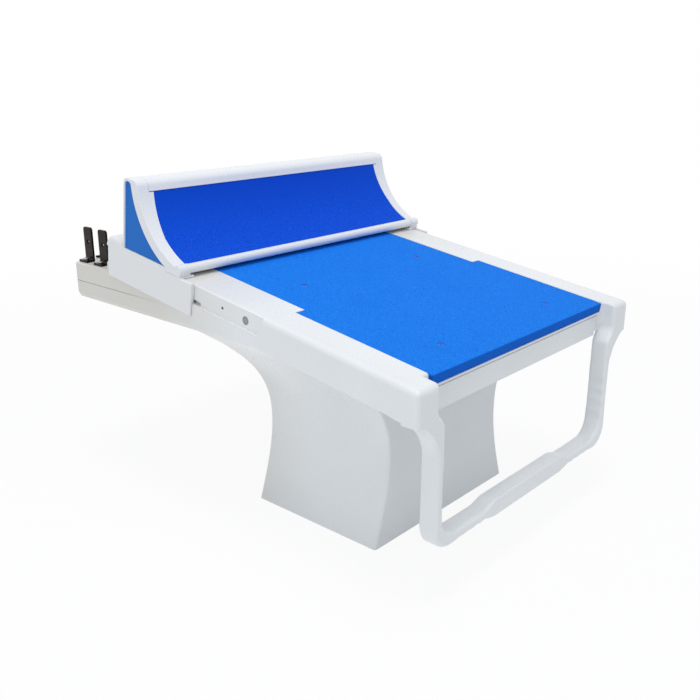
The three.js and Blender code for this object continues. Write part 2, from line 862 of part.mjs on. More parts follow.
// Brackets with their screws on the left of the rear box, and a bar along its rear edge
const bracketLow = armTopHeight + seatGap;
function bracketSolid(y) {
  const low = y - bracketWidth / 2;
  const high = y + bracketWidth / 2;
  const top = bracketLow + bracketHeight;
  const blade = polygon([
    [low, bracketLow],
    [high, bracketLow],
    ...arc([high - bracketCorner, top - bracketCorner], bracketCorner, 0, Math.PI / 2, cornerSteps),
    ...arc([low + bracketCorner, top - bracketCorner], bracketCorner, Math.PI / 2, Math.PI, cornerSteps),
  ]);
  const bladeSolid = alongX(blade, bracketRight - bracketThickness, bracketRight);
  const foot = block(
    [bracketRight - bracketFoot, low, bracketLow],
    [bracketRight, high, bracketLow + bracketThickness],
  );
  const hole = rodAlongX(
    bracketHoleRadius,
    bracketRight - overrun,
    bracketRight + overrun,
    y,
    bracketLow + bracketHoleHeight,
  );
  const screwHole = rodAlongZ(bracketScrewRadius + seatGap, 0, blockWidth, bracketScrewX, y, smallSteps);
  return cut(joined(bladeSolid, foot), hole, screwHole);
}
for (const [end, y] of bracketPlaces) {
  place(startingBlock, `rear_bracket_${end}`, bracketSolid(y), darkSteel);
  const headLow = bracketLow + bracketThickness + seatGap;
  const headHigh = headLow + bracketScrewHeadHeight;
  const head = rodAlongZ(bracketScrewHeadRadius, headLow, headHigh, bracketScrewX, y, 6);
  const shank = rodAlongZ(
    bracketScrewRadius,
    bracketLow - bracketScrewBite,
    headLow + seatGap,
    bracketScrewX,
    y,
    smallSteps,
  );
  place(startingBlock, `bracket_screw_${end}`, joined(head, shank), zinc);
}
const rearBar = block(
  [-rearBarHalf, armRearY - rearBarSetback - rearBarWidth, bracketLow],
  [rearBarHalf, armRearY - rearBarSetback, bracketLow + rearBarThickness],
);
place(startingBlock, "rear_bar", rearBar, darkSteel);

// Kick plate carriage: saddle with skirts, lips and a rounded rear housing
function saddle() {
  const outer = carriageOuter;
  const flangeLow = [carriageFrontRun + flangeSetback, saddleBottom];
  const flangeHigh = [plateFrontRun + runGap, flangeTop];
  const skirtLow = [carriageFrontRun, -recessHeight + runGap];
  const skirtHigh = [carriageRearRun, saddleBottom + runGap];
  const lipLow = [carriageFrontRun, -skirtLipDepth];
  const parts = [
    block([-outer, plateFrontRun, saddleBottom], [outer, carriageRearRun - housingCorner, saddleTop]),
  ];
  for (const [, side] of sides) {
    parts.push(
      blockOn(side, flangeInner, outer, flangeLow, flangeHigh),
      blockOn(side, skirtInner, outer, skirtLow, skirtHigh),
      blockOn(side, halfWidth + runGap, outer, lipLow, skirtHigh),
    );
  }
  const housingRound = [carriageRearRun - housingCorner, housingTop - housingCorner];
  const housing = polygon([
    [housingFrontRun, -housingTop],
    [carriageRearRun, -housingTop],
    ...arc(housingRound, housingCorner, 0, Math.PI / 2, smallSteps),
    [housingFrontRun, housingTop],
  ]);
  const rounded = new THREE.ExtrudeGeometry(housing, {
    depth: 2 * (outer - housingSideSlope),
    bevelEnabled: true,
    bevelThickness: housingSideSlope,
    bevelSize: housingSideDrop,
    bevelOffset: -housingSideDrop,
    bevelSegments: 4,
  });
  const turn = new THREE.Matrix4().makeBasis(
    new THREE.Vector3(0, 1, 0),
    new THREE.Vector3(0, 0, 1),
    new THREE.Vector3(1, 0, 0),
  );
  rounded.applyMatrix4(turn).translate(housingSideSlope - outer, 0, 0);
  const overTrack = block([-skirtInner, 0, -overrun], [skirtInner, 2 * trackLength, saddleBottom]);
  const beside = sides.map(([, side]) =>
    blockOn(side, skirtInner - runGap, 2 * outer, [0, -overrun], [2 * trackLength, saddleBottom]),
  );
  const capped = cut(rounded, overTrack, ...beside);
  const hollows = sides.map(([, side]) =>
    blockOn(
      side,
      housingBossHalf,
      housingHollowHalf,
      [housingFrontRun + housingSkin, 0],
      [carriageRearRun - housingCorner, housingTop - housingSkin],
    ),
  );
  const barrelHole = rodAlongZ(barrelRadius + seatGap, -overrun, overrun, 0, lockRun);
  return cut(joined(...parts, capped), ...hollows, barrelHole);
}
place(carriageGroup, "carriage_saddle", saddle(), whiteShell);

// Runners on the skirts, in the grooves of the deck
for (const [word, side] of sides) {
  const runner = blockOn(
    side,
    railFace - grooveDepth + runGap,
    skirtInner - seatGap,
    [carriageRearRun - runnerLength, seatGap - recessHeight],
    [carriageRearRun, grooveHeight - recessHeight - seatGap],
  );
  place(carriageGroup, `slide_runner_${word}`, runner, palePlastic);
}

const arcCentre = [arcRun, arcRise];

// Outline of the whole wedge, from its foot up the front arc and over the top to the back
function wedgeOutline() {
  const footLow = flangeTop + seatGap;
  const cornerRadius = railFrontRadius + wedgeFrontCorner;
  const railTopAngle = angleAt(cornerRadius, wedgeTop - wedgeFrontCorner);
  const frontCorner = arcPoint(cornerRadius, railTopAngle);
  const backCorner = [wedgeBackRun - wedgeBackCorner, wedgeTop - wedgeBackCorner];
  return polygon([
    [arcPoint(railFrontRadius, railFootAngle)[0], footLow],
    ...arc(arcCentre, railFrontRadius, railFootAngle, railTopAngle, arcSteps),
    ...arc(frontCorner, wedgeFrontCorner, Math.PI + railTopAngle, Math.PI / 2, cornerSteps),
    ...arc(backCorner, wedgeBackCorner, Math.PI / 2, 0, cornerSteps),
    [wedgeBackRun, plateTop],
    [plateFrontRun - seatGap, plateTop],
    [plateFrontRun - seatGap, footLow],
  ]);
}

// Outline of the blue cheek, or of the hole for it when grow is the gap round it
function cheekOutline(grow) {
  const radius = railBackRadius - grow + seatGap;
  const lowAngle = angleAt(radius, plateTop);
  const back = wedgeBackRun - wedgeBackThickness - seatGap + grow;
  const top = wedgeTop - cheekRim + grow;
  const corner = cheekCorner + grow;
  const topAngle = angleAt(radius + corner, top - corner);
  return polygon([
    [back, plateTop - grow],
    ...arc([back - corner, top - corner], corner, 0, Math.PI / 2, cornerSteps),
    ...arc(arcPoint(radius + corner, topAngle), corner, Math.PI / 2, Math.PI + topAngle, cornerSteps),
    ...arc(arcCentre, radius, topAngle, lowAngle, arcSteps),
    [arcPoint(radius, lowAngle)[0], plateTop - grow],
  ]);
}

for (const [word, side] of sides) {
  const from = side < 0 ? -carriageOuter : railInner;
  const to = side < 0 ? -railInner : carriageOuter;
  const whole = alongX(wedgeOutline(), from, to, railEdgeRound, 1);
  const bayInner = railInner - overrun;
  const bay = alongX(
    cheekOutline(seatGap),
    side < 0 ? -carriageOuter - overrun : bayInner,
    side < 0 ? -bayInner : carriageOuter + overrun,
  );
  place(carriageGroup, `kick_rail_${word}`, cut(whole, bay), whiteFrame);
  const cheekOuter = carriageOuter - cheekSink;
  const cheekInner = cheekOuter - cheekThickness;
  const cheekFrom = side < 0 ? -cheekOuter : cheekInner;
  const cheek = alongX(cheekOutline(0), cheekFrom, cheekFrom + cheekThickness);
  place(carriageGroup, `kick_cheek_${word}`, cheek, blueCheek);
}

const between = railInner - seatGap;

const panelOutline = polygon([
  ...arc(arcCentre, panelRadius, panelTopAngle, panelLowAngle, arcSteps),
  ...arc(arcCentre, panelRadius + panelThickness, panelLowAngle, panelTopAngle, arcSteps),
]);
place(carriageGroup, "kick_panel", alongX(panelOutline, -between, between), bluePanel);

const topRailLow = arcPoint(panelRadius, panelTopAngle)[1] + seatGap;
const topRailBox = block([-between, 0, topRailLow], [between, 2 * trackLength, 2 * wedgeTop]);
const topRail = common(alongX(wedgeOutline(), -between, between), topRailBox);
place(carriageGroup, "kick_top_rail", topRail, whiteFrame);

const tubeMiddle = arcPoint(panelRadius + panelThickness / 2, tubeAngle);
place(carriageGroup, "kick_tube", rodAlongX(tubeRadius, -between, between, ...tubeMiddle), whiteFrame);

const backPanel = block(
  [-between, wedgeBackRun - wedgeBackThickness, plateTop],
  [between, wedgeBackRun, topRailLow - seatGap],
);
place(carriageGroup, "kick_back", backPanel, whiteFrame);

// Ribs between the panel and the back
function ribOutline() {
  const radius = panelRadius + panelThickness + seatGap;
  const back = wedgeBackRun - wedgeBackThickness - seatGap;
  const high = topRailLow - seatGap;
  const lowRun = plateFrontRun + runGap;
  const lowAngle = -Math.acos((lowRun - arcRun) / radius);
  return polygon([
    [lowRun, plateTop],
    [back, plateTop],
    [back, high],
    ...arc(arcCentre, radius, angleAt(radius, high), lowAngle, arcSteps),
  ]);
}
for (const [word, side] of sides) {
  const low = side * ribPlace - ribThickness / 2;
  place(carriageGroup, `kick_rib_${word}`, alongX(ribOutline(), low, low + ribThickness), palePlastic);
}

// Lock plunger, shown held up: barrel, spring, pin and knob
const barrelLow = saddleBottom + runGap;
const barrelHigh = housingTop + barrelAbove;
const chamberLow = barrelLow + collarThickness;
const collarLow = chamberLow + seatGap + lockTravel;
const pinTip = saddleBottom;
const knobLow = barrelHigh + seatGap + lockTravel;
const lockRod = (radius, low, high, steps) => rodAlongZ(radius, low, high, 0, lockRun, steps);
const flangeLow = housingTop + seatGap;
const lockBarrel = cut(
  joined(
    lockRod(barrelRadius, barrelLow, barrelHigh),
    lockRod(barrelFlangeRadius, flangeLow, flangeLow + barrelFlangeThickness, 6),
  ),
  lockRod(lockPinRadius + seatGap, -overrun, 2 * overrun),
  lockRod(springRadius + seatGap, chamberLow, barrelHigh - barrelCap),
);
place(carriageGroup, "lock_barrel", lockBarrel, steel);
const springLow = collarLow + collarThickness + seatGap;
const springHigh = barrelHigh - barrelCap - seatGap;
const lockSpring = cut(
  lockRod(springRadius, springLow, springHigh),
  lockRod(springRadius - springWall, 0, 2 * overrun),
);
place(carriageGroup, "lock_spring", lockSpring, zinc);
const lockPin = joined(
  lockRod(lockPinRadius, pinTip, knobLow + knobHeight / 2),
  lockRod(springRadius, collarLow, collarLow + collarThickness),
);
place(carriageGroup, "lock_pin", lockPin, steel);
const knobProfile = [
  [0, 0],
  [knobRadius - knobWaist, 0],
  [knobRadius - knobWaist, knobHeight / 3],
  [knobRadius, knobHeight / 3 + knobEdge],
  [knobRadius, knobHeight - knobEdge],
  [knobRadius - knobEdge, knobHeight],
  [0, knobHeight],
].map(([across, up]) => new THREE.Vector2(across, up));
const knobBody = new THREE.LatheGeometry(knobProfile, boreSteps);
knobBody.rotateX(Math.PI / 2).translate(0, lockRun, knobLow);
const lockKnob = cut(knobBody, lockRod(lockPinRadius + seatGap, 0, knobLow + knobHeight / 2 + seatGap));
place(carriageGroup, "lock_knob", lockKnob, blackPlastic);

export default startingBlock;
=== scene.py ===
# %% [markdown]
# # A swimming starting block
# A moulded white body on a waisted pedestal carries a sloping deck with a blue non-slip mat.
# A swimmer grips the loop at the front for a backstroke start, and sets the rear foot against
# the kick plate, which slides on the deck and locks in five places.
# The working parts already exist as a plain model, and this lesson gives them their real skin.

# %% Load the working model
import json
import math

import bmesh
import bpy
from mathutils import Matrix, Vector


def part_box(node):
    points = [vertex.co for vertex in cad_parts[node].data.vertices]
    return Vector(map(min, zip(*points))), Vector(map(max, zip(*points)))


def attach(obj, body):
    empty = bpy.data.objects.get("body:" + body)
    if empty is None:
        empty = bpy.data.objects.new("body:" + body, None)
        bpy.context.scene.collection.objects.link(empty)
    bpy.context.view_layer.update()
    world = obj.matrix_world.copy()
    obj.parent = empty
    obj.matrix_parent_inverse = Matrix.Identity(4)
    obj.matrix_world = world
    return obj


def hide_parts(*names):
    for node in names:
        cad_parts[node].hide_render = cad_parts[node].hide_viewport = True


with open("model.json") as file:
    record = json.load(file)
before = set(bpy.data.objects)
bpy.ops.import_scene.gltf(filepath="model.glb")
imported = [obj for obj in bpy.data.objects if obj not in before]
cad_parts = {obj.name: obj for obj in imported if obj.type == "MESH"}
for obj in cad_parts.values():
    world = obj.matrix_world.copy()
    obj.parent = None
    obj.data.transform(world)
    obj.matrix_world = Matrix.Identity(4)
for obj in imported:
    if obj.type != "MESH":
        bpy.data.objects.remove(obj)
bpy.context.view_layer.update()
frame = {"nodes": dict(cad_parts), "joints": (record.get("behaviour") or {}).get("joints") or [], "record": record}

# %% [markdown]
# ## One set of measures
# Lengths are written in millimetres, as on a drawing, and turned into metres when a mesh is made.
# The outer sizes come from the working model, so that a new skin always fits it.
# The deck slopes, so it has a frame of its own: x across, run up the slope, rise square to it.
# Typing tilted coordinates by hand would work too, but every size would then hide a cosine.
# Pieces that meet keep a small gap, so that two faces never lie in the same plane.

# %% Sizes and the deck's own frame
MM = 0.001


def corners(node):
    low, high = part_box(node)
    return low / MM, high / MM


block_low, block_high = corners("deck_shell")
half_width = block_high.x
post_front = block_low.y
box_rear = block_high.y
post_reach = 7
deck_front = post_front + post_reach
joints = {joint["name"]: joint for joint in frame["joints"]}
slope = math.asin(-joints["kick_plate_slide"]["axis"][2])
mat_mount = next(mount for mount in frame["record"]["mounts"] if mount["name"] == "mat_top")
mount_place = Vector(mat_mount["pos_m"]) / MM
deck_height = mount_place.z - (mount_place.y - deck_front) * math.tan(slope)
level = Matrix.Identity(4)
deck = Matrix.Translation((0, deck_front, deck_height)) @ Matrix.Rotation(slope, 4, "X")
off_deck = deck.inverted()
far = 1200
part_gap = 0.3
print(f"deck: {math.degrees(slope):.2f} degrees, front edge {deck_height:.1f} mm above the floor")

# %% [markdown]
# ## Camera, light and floor
# The camera stands at the left of the pool end, a little above the deck, as the photographer did.
# A large soft lamp overhead, a weaker one at the left and an even pale sky give the calm light
# of a catalogue picture.
# The floor is pale and keeps the shadow. The camera and mirrors see it brightened to near white
# through the Light Path node, so no extra light falls on the block.

# %% Camera
camera_place = Vector((-1133.84, -919.55, 749.28)) * MM
camera_tilt = (math.radians(71.78), 0, math.radians(-48.45))
camera_data = bpy.data.cameras.new("camera")
camera_data.lens = 43.894
camera_data.sensor_width = 36
camera = bpy.data.objects.new("camera", camera_data)
camera.location = camera_place
camera.rotation_euler = camera_tilt
bpy.context.scene.collection.objects.link(camera)
bpy.context.scene.camera = camera
print("camera:", [round(value, 3) for value in camera_place])


# %% Lamps
def lamp(name, place, aim, width, watts, colour):
    data = bpy.data.lights.new(name, "AREA")
    data.size = width
    data.energy = watts
    data.color = colour
    made = bpy.data.objects.new(name, data)
    made.location = place
    made.rotation_euler = (Vector(aim) - Vector(place)).to_track_quat("-Z", "Y").to_euler()
    bpy.context.scene.collection.objects.link(made)


block_middle = (0, 0.1, 0.3)
lamp("overhead softbox", (-0.4, -0.35, 2.9), block_middle, 1.3, 31, (1.0, 0.985, 0.965))
lamp("side softbox", (-2.6, -0.2, 0.7), block_middle, 1.8, 8, (0.98, 0.99, 1.0))


# %% Shader nodes, first used for the sky
def node(tree, kind, inputs=(), **settings):
    """Adds a node. Each input keeps a number or colour, or follows another node's output"""
    made = tree.nodes.new("ShaderNode" + kind)
    for title, value in settings.items():
        setattr(made, title, value)
    for title, value in dict(inputs).items():
        if isinstance(value, bpy.types.NodeSocket):
            tree.links.new(value, made.inputs[title])
        else:
            made.inputs[title].default_value = value
    return made


def sums(tree, operation, one, two):
    return node(tree, "Math", {0: one, 1: two}, operation=operation).outputs[0]


def seen_directly(tree):
    """1 where the camera, a mirror or a clear body looks at the surface, and 0 for other light"""
    path = node(tree, "LightPath").outputs
    first = sums(tree, "MAXIMUM", path["Is Camera Ray"], path["Is Glossy Ray"])
    return sums(tree, "MAXIMUM", first, path["Is Transmission Ray"])


def blank_tree(owner):
    owner.use_nodes = True
    owner.node_tree.nodes.clear()
    return owner.node_tree


sky = bpy.data.worlds.new("pale sky")
bpy.context.scene.world = sky
tree = blank_tree(sky)
soft = node(tree, "Background", {"Color": (0.93, 0.965, 1.0, 1), "Strength": 0.64})
white = node(tree, "Background", {"Color": (1, 1, 1, 1), "Strength": 1})
sides = {"Fac": seen_directly(tree), 1: soft.outputs[0], 2: white.outputs[0]}
node(tree, "OutputWorld", {"Surface": node(tree, "MixShader", sides).outputs[0]})
print("sky:", len(tree.nodes), "nodes")


# %% Floor
def spread(tree, value, low, high, to_low=0.0, to_high=1.0, easing="SMOOTHSTEP"):
    """Stretches the values from low to high over another range"""
    inputs = {"Value": value, "From Min": low, "From Max": high, "To Min": to_low,
              "To Max": to_high}
    return node(tree, "MapRange", inputs, interpolation_type=easing).outputs["Result"]


reach = 12
floor_corners = [(-reach, -reach, 0), (reach, -reach, 0), (reach, reach, 0), (-reach, reach, 0)]
floor_mesh = bpy.data.meshes.new("floor")
floor_mesh.from_pydata(floor_corners, [], [(0, 1, 2, 3)])
floor = bpy.data.objects.new("floor", floor_mesh)
bpy.context.scene.collection.objects.link(floor)
paint = bpy.data.materials.new("pale floor")
tree = blank_tree(paint)
matt = node(tree, "BsdfDiffuse", {"Color": (0.93, 0.93, 0.93, 1)})
glow = node(tree, "Emission", {"Color": (1, 1, 1, 1), "Strength": 1})
spot = node(tree, "TexCoord").outputs["Object"]
away = node(tree, "VectorMath", {0: spot}, operation="LENGTH").outputs["Value"]
fade = spread(tree, away, 0.9, 2.6, 0.9, 1.0, "LINEAR")
share = sums(tree, "MULTIPLY", seen_directly(tree), fade)
sides = {"Fac": share, 1: matt.outputs[0], 2: glow.outputs[0]}
node(tree, "OutputMaterial", {"Surface": node(tree, "MixShader", sides).outputs[0]})
floor_mesh.materials.append(paint)
bpy.context.scene.view_settings.view_transform = "Standard"
print("floor:", 2 * reach, "m wide")

# %% [markdown]
# ## Tools for hard shapes
# Moulded plastic is made here as a carpenter would: pull an outline into a solid, join and cut
# solids, then round their edges. Sculpting gives softer forms, but not true flats and fits.
# Every edge gets the radius that the real mould has there, so one bevel pass takes a radius
# for each edge from a small rule instead of one width for all.

# %% Outlines and solids
AXES = {
    "x": lambda along, one, two: (along, one, two),
    "y": lambda along, one, two: (one, along, two),
    "z": lambda along, one, two: (one, two, along),
}


def reshape(mesh, change):
    """Opens a mesh for editing, lets change work on it, and writes it back"""
    work = bmesh.new()
    work.from_mesh(mesh)
    change(work)
    work.to_mesh(mesh)
    work.free()


def piece_of(name, points, faces, place=level):
    mesh = bpy.data.meshes.new(name)
    mesh.from_pydata([tuple((place @ Vector(point)) * MM) for point in points], [], faces)
    reshape(mesh, lambda work: bmesh.ops.recalc_face_normals(work, faces=work.faces))
    piece = bpy.data.objects.new(name, mesh)
    bpy.context.scene.collection.objects.link(piece)
    return piece


def loft(name, rings, place=level):
    """Skins a row of rings with the same number of points, and caps both ends"""
    around = len(rings[0])
    points = [point for ring in rings for point in ring]
    faces = []
    for low in range(0, len(points) - around, around):
        high = low + around
        for step in range(around):
            after = (step + 1) % around
            faces.append((low + step, low + after, high + after, high + step))
    faces += [tuple(range(around)), tuple(range(len(points) - around, len(points)))]
    return piece_of(name, points, faces, place)


def prism(name, outline, axis, start, end, place=level):
    """Pulls a closed outline along one axis"""
    put = AXES[axis]
    rings = [[put(along, *point) for point in outline] for along in (start, end)]
    return loft(name, rings, place)


def block(name, low, high, place=level):
    outline = [(low[0], low[1]), (high[0], low[1]), (high[0], high[1]), (low[0], high[1])]
    return prism(name, outline, "z", low[2], high[2], place)


def slab(name, half=far, y=(-far, far), z=(-far, far), place=level):
    """A block centred on x, which runs past everything wherever no limit is given"""
    return block(name, (-half, y[0], z[0]), (half, y[1], z[1]), place)


def span(side, inner, outer):
    """The low and high x between two distances from the middle, on one side"""
    return sorted((side * inner, side * outer))


def side_block(name, side, inner, outer, low, high):
    start, end = span(side, inner, outer)
    return block(name, (start, *low), (end, *high), deck)


def arc(centre, radius, start, end, steps=16):
    """Points on an arc, with angles in degrees"""
    angles = [math.radians(start + (end - start) * step / steps) for step in range(steps + 1)]
    return [(centre[0] + radius * math.cos(a), centre[1] + radius * math.sin(a)) for a in angles]


def rod(name, axis, centre, radius, start, end, place=level, steps=48):
    return prism(name, arc(centre, radius, 0, 360, steps)[:-1], axis, start, end, place)


def bezier(start, first, second, end, steps=24):
    points = []
    for step in range(steps + 1):
        t = step / steps
        weights = ((1 - t) ** 3, 3 * t * (1 - t) ** 2, 3 * t * t * (1 - t), t ** 3)
        corner_points = zip(weights, (start, first, second, end))
        terms = [(weight * point[0], weight * point[1]) for weight, point in corner_points]
        points.append((sum(term[0] for term in terms), sum(term[1] for term in terms)))
    return points


test = rod("test_rod", "x", (0, 0), 10, 0, 50)
print("a rod of 48 sides has", len(test.data.polygons), "faces")
bpy.data.objects.remove(test)


# %% Joining, cutting and rounding
def settle(piece):
    """Turns what the modifiers make into the piece's own mesh"""
    bpy.context.view_layer.update()
    graph = bpy.context.evaluated_depsgraph_get()
    final = bpy.data.meshes.new_from_object(piece.evaluated_get(graph))
    piece.modifiers.clear()
    piece.data = final
    final.name = piece.name


def combine(piece, others, operation):
    for other in others:
        step = piece.modifiers.new(other.name, "BOOLEAN")
        step.operation = operation
        step.solver = "MANIFOLD"
        step.object = other
    settle(piece)
    for other in others:
        bpy.data.objects.remove(other)


def cut(piece, *cutters):
    combine(piece, cutters, "DIFFERENCE")


def join(piece, *others):
    combine(piece, others, "UNION")


def clean(piece):
    """Joins the flat faces that a cut leaves split"""
    def merge(work):
        bmesh.ops.remove_doubles(work, verts=work.verts, dist=0.002 * MM)
        bmesh.ops.dissolve_limit(
            work, angle_limit=math.radians(0.4), verts=work.verts, edges=work.edges)

    reshape(piece.data, merge)


def score(piece, places, frame_of=level):
    """Draws lines across a piece at places along y, so that its edges have ends there"""
    normal = (frame_of.to_3x3() @ Vector((0, 1, 0))).normalized()

    def bisect(work):
        for place in places:
            everything = work.verts[:] + work.edges[:] + work.faces[:]
            middle = (frame_of @ Vector((0, place, 0))) * MM
            bmesh.ops.bisect_plane(work, geom=everything, plane_co=middle, plane_no=normal)

    reshape(piece.data, bisect)


def soften(piece, radius_at, segments=4, clamp=False, least_angle=25):
    """Rounds each edge by radius_at(place, place on the deck), in millimetres"""
    bevel = piece.modifiers.new("round edges", "BEVEL")
    bevel.limit_method = "WEIGHT"
    bevel.segments = segments
    bevel.use_clamp_overlap = clamp

    def weigh(work):
        weight = work.edges.layers.float.new("bevel_weight_edge")
        radii = {}
        for edge in work.edges:
            if len(edge.link_faces) == 2 and edge.calc_face_angle() > math.radians(least_angle):
                middle = (edge.verts[0].co + edge.verts[1].co) / (2 * MM)
                radii[edge] = radius_at(middle, off_deck @ middle)
        widest = max(radii.values())
        bevel.width = widest * MM
        for edge, radius in radii.items():
            edge[weight] = radius / widest

    reshape(piece.data, weigh)
    settle(piece)


def evenly(radius):
    return lambda place, on_deck: radius


def near(value, target, reach=0.6):
    return abs(value - target) < reach


def shade(piece, crease=32):
    """Smooth shading that keeps creases and lets large flats stay flat"""
    def smooth(work):
        for face in work.faces:
            face.smooth = True
        for edge in work.edges:
            if len(edge.link_faces) == 2:
                edge.smooth = edge.calc_face_angle() < math.radians(crease)

    reshape(piece.data, smooth)
    flats = piece.modifiers.new("flat faces lead", "WEIGHTED_NORMAL")
    flats.keep_sharp = True
    flats.weight = 60


# %% [markdown]
# ## Finishes
# Three effects are shared. The moulded skin has a faint orange peel and cloudy patches,
# and painted shade makes it darker and warmer towards the back.
# The non-slip grain is a fine pebble with pale and deep specks, and its upright faces are painted darker as shade.
# The drawn metal has streaks.
# Each is a node group with its own sockets, so every material sets its own colours.

# %% Shader groups
COLOUR = "NodeSocketColor"
NUMBER = "NodeSocketFloat"


def noise(tree, place, scale, detail=3.0, rough=0.5):
    inputs = {"Vector": place, "Scale": scale, "Detail": detail, "Roughness": rough}
    return node(tree, "TexNoise", inputs).outputs["Fac"]


def mixed(tree, mask, one, two):
    inputs = {"Factor": mask, "A": one, "B": two}
    return node(tree, "Mix", inputs, data_type="RGBA").outputs["Result"]


def new_group(name, inputs, effect):
    """A node group that puts out the colour, roughness and height that effect makes"""
    group = bpy.data.node_groups.new(name, "ShaderNodeTree")
    for title, value in inputs.items():
        kind = NUMBER if isinstance(value, float) else COLOUR
        socket = group.interface.new_socket(title, in_out="INPUT", socket_type=kind)
        socket.default_value = value
    for title, kind in (("Colour", COLOUR), ("Roughness", NUMBER), ("Height", NUMBER)):
        group.interface.new_socket(title, in_out="OUTPUT", socket_type=kind)
    given = group.nodes.new("NodeGroupInput").outputs
    end = group.nodes.new("NodeGroupOutput")
    for socket, result in zip(end.inputs, effect(group, given)):
        group.links.new(result, socket)
    print("group:", name, "with", len(group.nodes), "nodes")
    return group


# %% Moulded skin
def moulded_skin(tree, given):
    place = node(tree, "TexCoord").outputs["Object"]
    patches = noise(tree, place, given["Patch Scale"], 2.0)
    peel = noise(tree, place, given["Peel Scale"], 1.5)
    waves = noise(tree, place, 22.0, 1.0)
    patch_mask = spread(tree, patches, 0.35, 0.7)
    patched_colour = mixed(tree, patch_mask, given["Colour"], given["Patch Colour"])
    # Painted shade: the colour turns darker and warmer towards the back, over the rear box, and the cloudy patches
    # blur where it starts.
    towards_back = node(tree, "SeparateXYZ", {0: place}).outputs["Y"]
    rear_shade_amount = sums(tree, "ADD", towards_back, sums(tree, "MULTIPLY", patches, 0.12))
    rear_shade_mask = spread(tree, rear_shade_amount, 0.06, 0.34)
    tint = mixed(tree, rear_shade_mask, patched_colour, given["Painted Rear Shade"])
    dull = spread(tree, peel, 0.3, 0.7, -0.03, 0.05)
    height = sums(tree, "ADD", sums(tree, "MULTIPLY", peel, 0.25), waves)
    return tint, sums(tree, "ADD", given["Gloss"], dull), height


pale = (0.75, 0.75, 0.75, 1)
skin_group = new_group(
    "moulded skin",
    {"Colour": pale, "Patch Colour": pale, "Painted Rear Shade": pale, "Patch Scale": 6.0,
     "Peel Scale": 420.0, "Gloss": 0.3},
    moulded_skin)


# %% Non-slip grain
def non_slip_grain(tree, given):
    place = node(tree, "TexCoord").outputs["Object"]
    inputs = {"Vector": place, "Scale": given["Grain Scale"]}
    pebbles = node(tree, "TexVoronoi", inputs, feature="SMOOTH_F1").outputs["Distance"]
    fine = noise(tree, place, 900.0, 4.0, 0.7)
    clusters = noise(tree, place, 160.0, 4.0, 0.65)
    clouds = noise(tree, place, 14.0, 2.0)
    deep_mask = spread(tree, pebbles, 0.25, 0.75)
    body = mixed(tree, deep_mask, given["Colour"], given["Deep Colour"])
    speck_mask = spread(tree, clusters, 0.52, 0.85, 0.0, 0.8)
    specked = mixed(tree, speck_mask, body, given["Speck Colour"])
    worn_mask = spread(tree, clouds, 0.5, 0.85, 0.0, 0.3)
    worn = mixed(tree, worn_mask, specked, given["Deep Colour"])
    # Painted shade: faces that stand upright, such as the mat's front edge and the lower kick panel, take the
    # darker side colour.
    normal = node(tree, "NewGeometry").outputs["True Normal"]
    facing_up = node(tree, "SeparateXYZ", {0: normal}).outputs["Z"]
    side_shade_mask = spread(tree, facing_up, 0.1, 0.9, 1.0, 0.0)
    colour = mixed(tree, side_shade_mask, worn, given["Painted Side Shade"])
    height = sums(tree, "ADD", sums(tree, "MULTIPLY", pebbles, -0.8), fine)
    return colour, spread(tree, fine, 0.2, 0.8, 0.72, 0.95), height


blue = (0.01, 0.1, 0.6, 1)
grain_group = new_group(
    "non-slip grain",
    {"Colour": blue, "Deep Colour": blue, "Speck Colour": blue, "Painted Side Shade": blue,
     "Grain Scale": 520.0},
    non_slip_grain)


# %% Drawn metal
def drawn_metal(tree, given):
    place = node(tree, "TexCoord").outputs["Object"]
    stretch = node(tree, "Mapping", {"Vector": place, "Scale": (18.0, 1.0, 18.0)})
    along = stretch.outputs["Vector"]
    streaks = noise(tree, along, given["Streak Scale"], 3.0)
    stain_mask = spread(tree, noise(tree, along, 3.0, 4.0), 0.45, 0.75)
    colour = mixed(tree, stain_mask, given["Colour"], given["Stain Colour"])
    dull = spread(tree, streaks, 0.2, 0.8, -0.08, 0.14)
    return colour, sums(tree, "ADD", given["Gloss"], dull), streaks


grey = (0.5, 0.5, 0.5, 1)
metal_group = new_group(
    "drawn metal",
    {"Colour": grey, "Stain Colour": grey, "Streak Scale": 30.0, "Gloss": 0.3},
    drawn_metal)


# %% Materials
def material(name, group, values, bump, bump_distance, specular=0.5, metallic=0.0):
    made = bpy.data.materials.new(name)
    made.use_nodes = True
    tree = made.node_tree
    effect = node(tree, "Group", node_tree=group)
    for title, value in values.items():
        effect.inputs[title].default_value = value if isinstance(value, float) else (*value, 1)
    relief = {"Strength": bump, "Distance": bump_distance, "Height": effect.outputs["Height"]}
    normal = node(tree, "Bump", relief).outputs["Normal"]
    shader = tree.nodes["Principled BSDF"].inputs
    tree.links.new(effect.outputs["Colour"], shader["Base Color"])
    tree.links.new(effect.outputs["Roughness"], shader["Roughness"])
    tree.links.new(normal, shader["Normal"])
    shader["Metallic"].default_value = metallic
    shader["Specular IOR Level"].default_value = specular
    return made


def moulded(name, colour, patch, gloss, specular=0.5, painted_rear_shade=None):
    values = {"Colour": colour, "Patch Colour": patch, "Painted Rear Shade": painted_rear_shade or colour,
              "Gloss": gloss}
    return material(name, skin_group, values, 0.12, 0.0006, specular)


# The last colour, edge, is painted shade for faces that stand upright.
def grained(name, colour, deep, speck, edge):
    values = {"Colour": colour, "Deep Colour": deep, "Speck Colour": speck, "Painted Side Shade": edge}
    return material(name, grain_group, values, 0.55, 0.0008, 0.12)


def drawn(name, colour, stain, gloss):
    values = {"Colour": colour, "Stain Colour": stain, "Gloss": gloss}
    return material(name, metal_group, values, 0.15, 0.0003, metallic=1.0)
